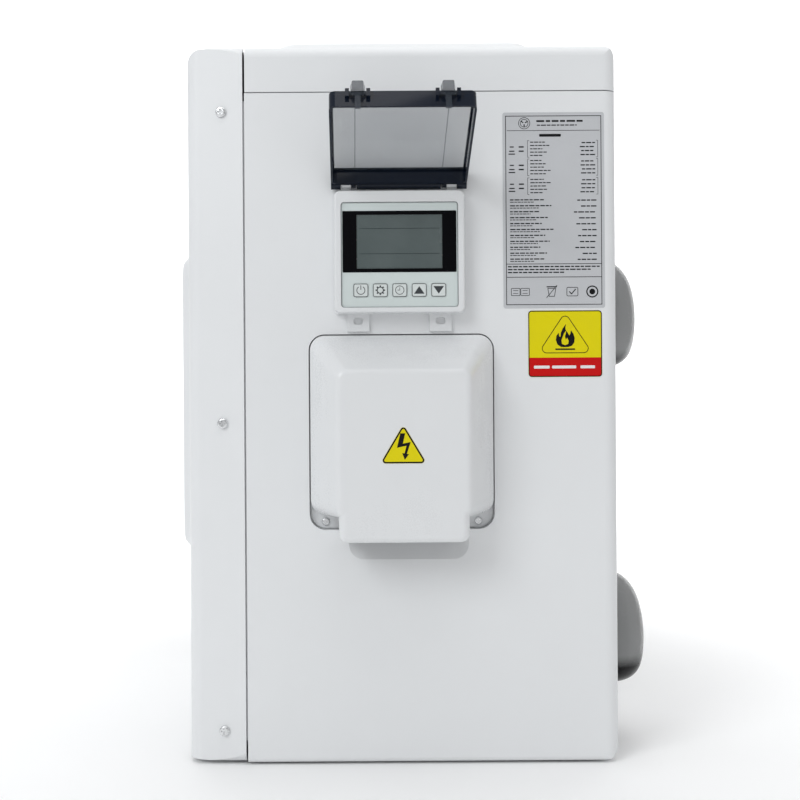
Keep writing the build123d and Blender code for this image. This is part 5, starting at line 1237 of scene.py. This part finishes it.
    @staticmethod
    def print_symbols(ink: Stencil, left: float, z: float) -> None:
        """Prints four plain symbols: an open book, a basket, a ticked box and a ringed dot.

        Args:
            ink: the stencil.
            left: the plate's left edge.
            z: the symbols' middle height.
        """
        book = left + 14 * MM
        for way in (-1, 1):
            ink.ring(block(book + way * 3.9 * MM, z, 7.6 * MM, 6.4 * MM, 0.8 * MM), 0.45 * MM)
            for height in (z - 1.2 * MM, z + 1.2 * MM):
                ink.line((book + way * 1.8 * MM, height), (book + way * 6 * MM, height), 0.4 * MM)
        basket = left + 40 * MM
        sides = [(basket - 2.4 * MM, z - 4 * MM), (basket + 2.4 * MM, z - 4 * MM),
                 (basket + 3.6 * MM, z + 3 * MM), (basket - 3.6 * MM, z + 3 * MM)]
        ink.ring(sides, 0.5 * MM)
        ink.fill(block(basket, z + 4.1 * MM, 8.6 * MM, 0.9 * MM, 0.3 * MM))
        ink.line((basket - 4.4 * MM, z - 5 * MM), (basket + 4.4 * MM, z + 5.4 * MM), 0.5 * MM)
        tick = left + 57 * MM
        ink.ring(block(tick, z, 9.6 * MM, 7.6 * MM, 1.2 * MM), 0.5 * MM)
        ink.line((tick - 2.6 * MM, z + 0.2 * MM), (tick - 0.6 * MM, z - 2.0 * MM), 0.8 * MM)
        ink.line((tick - 0.8 * MM, z - 2.0 * MM), (tick + 2.8 * MM, z + 2.2 * MM), 0.8 * MM)
        dot = (left + 73.5 * MM, z)
        ink.ring(disc(*dot, 5.0 * MM), 1.0 * MM)
        ink.fill(disc(*dot, 2.4 * MM))

    def print_gas(self) -> None:
        """Prints the refrigerant sign: a flame in a rounded triangle above a red band."""
        low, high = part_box("gas_label")
        middle, centre = (low.y + high.y) / 2, (low.z + high.z) / 2
        wide, tall = high.y - low.y, high.z - low.z
        band_foot, band_top = low.z + self.gas_rim, low.z + self.gas_band
        band = Stencil("gas_band_print", high.x)
        band.fill(block(middle, (band_foot + band_top) / 2, wide - 2 * self.gas_rim, band_top - band_foot))
        band.build(Look.RED, "casing", "label_yellow")
        words = Stencil("gas_band_bars", high.x, lift=0.06 * MM)
        for shift, long in ((-19.5, 13), (-1.0, 20), (18.5, 12)):
            words.fill(block(middle + shift * MM, low.z + 8.2 * MM, long * MM, 2.4 * MM, 0.7 * MM))
        words.build(Look.WHITE_INK, "casing", "label_yellow")
        sign = Stencil("gas_sign_print", high.x)
        sign.ring(block(middle, centre, wide - 0.2 * MM, tall - 0.2 * MM, 2.6 * MM), self.gas_rim)
        foot, top = high.z - 35.4 * MM, high.z - 1.2 * MM
        half = 22.8 * MM
        corners = [(middle - half, foot), (middle + half, foot), (middle, top)]
        sign.ring(rounded(corners, 4.0 * MM, 10), 0.6 * MM)
        for outline in self.flame(middle, high.z - 21.9 * MM, self.gas_flame):
            sign.fill(outline)
        sign.build(Look.INK, "casing", "label_yellow")

    @staticmethod
    def flame(y: float, z: float, reach: float) -> list[Outline]:
        """A plain three-tongued flame with an open heart, over a bar.

        Args:
            y: its middle along the end face.
            z: its middle height.
            reach: half of its height.

        Returns:
            Its outlines.
        """
        left = [
            (0.00, -0.82), (-0.34, -0.80), (-0.62, -0.60), (-0.74, -0.26), (-0.70, 0.06), (-0.52, 0.34),
            (-0.48, 0.08), (-0.38, -0.02), (-0.34, 0.34), (-0.20, 0.66), (0.06, 1.02), (0.02, 0.70),
            (0.06, 0.50), (-0.10, 0.26), (-0.20, 0.00), (-0.30, -0.28), (-0.26, -0.56), (0.00, -0.66),
        ]
        right = [
            (0.00, -0.82), (0.00, -0.66), (0.24, -0.56), (0.28, -0.32), (0.16, -0.06), (0.06, -0.22),
            (-0.02, 0.02), (0.06, 0.30), (0.06, 0.50), (0.20, 0.34), (0.34, 0.10), (0.42, 0.28),
            (0.46, 0.52), (0.66, 0.24), (0.76, -0.10), (0.72, -0.44), (0.54, -0.70), (0.28, -0.80),
        ]
        bar = [(-0.78, -1.04), (0.78, -1.04), (0.78, -0.92), (-0.78, -0.92)]
        return [[(y + reach * a, z + reach * b) for a, b in outline] for outline in (left, right, bar)]


@dataclass
class WaterSide:
    """The two water ports with their hoods, and the exchanger behind them."""

    frame: dict[str, Any]

    def build(self) -> None:
        """Dresses the ports and the exchanger."""
        dress(
            self.frame,
            {
                "port_bezels": Look.BLACK,
                "inlet_hood": Look.HOOD,
                "outlet_hood": Look.HOOD,
                "water_inlet_socket": Look.PIPE_GREY,
                "water_outlet_socket": Look.PIPE_GREY,
                "socket_seals": Look.RUBBER,
                "exchanger_shell": Look.PIPE_GREY,
                "exchanger_cap": Look.PIPE_GREY,
                "titanium_coil": Look.TITANIUM,
            },
        )


@dataclass
class Refrigeration:
    """The compressor, coil, valves and pipes, and the fan that draws air through them."""

    frame: dict[str, Any]

    def build(self) -> None:
        """Dresses everything inside."""
        dress(
            self.frame,
            {
                "compressor": Look.BLACK_STEEL,
                "accumulator": Look.BLACK_STEEL,
                "compressor_grommets": Look.RUBBER,
                "compressor_bolts": Look.ZINC,
                "evaporator_fins": Look.FIN,
                "evaporator_ends": Look.COPPER,
                "reversing_valve": Look.BRASS,
                "expansion_valve": Look.BRASS,
                "gas_pipes": Look.COPPER,
                "liquid_pipe": Look.COPPER,
                "fan_motor": Look.MOTOR,
                "motor_bracket": Look.SHEET,
                "fan_rotor": Look.ROTOR,
                "fan_shaft": Look.ZINC,
                "board_tray": Look.SHEET,
                "main_board": Look.BOARD,
            },
        )


# ---------------------------------------------------------------- studio


@dataclass
class Studio:
    """A pale sweep of floor, soft lights and the camera."""

    eye: Vector = field(default_factory=lambda: Vector((1.545, -0.0428, 0.302)))
    lens: float = 59.8
    shift: float = 0.0613
    roll: float = -0.37
    world_light: float = 0.50

    def build(self) -> None:
        """Makes the floor, the lights and the camera."""
        self.floor()
        self.area("key light", (3.0, -2.0, 2.3), (0.3, 0.0, 0.35), 1.6, 47.0, (0.96, 0.985, 1.0))
        self.area("top light", (0.5, 0.2, 2.6), (0.0, 0.0, 0.3), 2.0, 20.0, (1.0, 1.0, 1.0))
        self.area("fill light", (1.4, 2.8, 1.2), (0.2, 0.0, 0.3), 2.0, 2.0, (1.0, 0.99, 0.97))
        self.area("backdrop light", (-1.6, 0.0, 3.2), (-4.4, 0.0, 0.8), 3.0, 170.0, (1.0, 1.0, 1.0))
        self.sky()
        self.camera()

    def floor(self) -> None:
        """A floor that curves up into a wall behind the unit."""
        mesh = bmesh.new()
        bend, reach, height, steps = 1.2, 4.5, 4.0, 14
        profile = [(6.0, 0.0), (-reach + bend, 0.0)]
        for step in range(1, steps + 1):
            turn = math.pi / 2 * step / steps
            profile.append((-reach + bend - bend * math.sin(turn), bend - bend * math.cos(turn)))
        profile.append((-reach, height))
        columns = [[mesh.verts.new((x, y, z)) for x, z in profile] for y in (-7.0, 7.0)]
        for near, far in zip(range(len(profile) - 1), range(1, len(profile))):
            mesh.faces.new((columns[0][near], columns[1][near], columns[1][far], columns[0][far]))
        data = bpy.data.meshes.new("studio_floor")
        mesh.to_mesh(data)
        mesh.free()
        data.polygons.foreach_set("use_smooth", [True] * len(data.polygons))
        data.materials.append(Look.FLOOR.value.shaded())
        made = bpy.data.objects.new("studio_floor", data)
        bpy.context.scene.collection.objects.link(made)
        made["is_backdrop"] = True

    @staticmethod
    def area(
        name: str, at: Place, aim: Place, size: float, power: float, colour: Colour
    ) -> None:
        """Makes one soft square light.

        Args:
            name: its name.
            at: where it hangs.
            aim: what it faces.
            size: its side, in metres.
            power: its power, in watts.
            colour: its colour.
        """
        lamp = bpy.data.lights.new(name, "AREA")
        lamp.shape = "SQUARE"
        lamp.size = size
        lamp.energy = power
        lamp.color = colour
        made = bpy.data.objects.new(name, lamp)
        made.location = at
        made.rotation_euler = (Vector(aim) - Vector(at)).to_track_quat("-Z", "Y").to_euler()
        bpy.context.scene.collection.objects.link(made)

    def sky(self) -> None:
        """An even pale surround."""
        world = bpy.data.worlds.new("studio")
        world.use_nodes = True
        back = world.node_tree.nodes["Background"]
        back.inputs["Color"].default_value = (0.98, 0.99, 1.0, 1.0)
        back.inputs["Strength"].default_value = self.world_light
        bpy.context.scene.world = world
        bpy.context.scene.view_settings.view_transform = "Standard"

    def camera(self) -> None:
        """Stands the camera square to the serviced end, a little to the fan side of its middle."""
        lens = bpy.data.cameras.new("camera")
        lens.lens = self.lens
        lens.sensor_width = 36.0
        lens.shift_x = self.shift
        lens.clip_end = 50.0
        made = bpy.data.objects.new("camera", lens)
        facing = Matrix(((0.0, 0.0, 1.0), (1.0, 0.0, 0.0), (0.0, 1.0, 0.0))).to_4x4()
        made.matrix_world = (
            Matrix.Translation(self.eye) @ facing @ Matrix.Rotation(math.radians(self.roll), 4, "Z")
        )
        bpy.context.scene.collection.objects.link(made)
        bpy.context.scene.camera = made


def corners() -> list[list[float]]:
    """Returns the whole object's lowest and highest corner as plain numbers."""
    return [[float(value) for value in corner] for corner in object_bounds()]


def main() -> None:
    """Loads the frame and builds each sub-assembly in order."""
    logging.basicConfig(level=logging.INFO, format="%(message)s")
    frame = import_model()
    Studio().build()
    for assembly in (Casing, WiringCover, Controller, Labels, WaterSide, Refrigeration):
        LOG.info("building %s", assembly.__name__)
        assembly(frame).build()


if __name__ == "__main__":
    main()
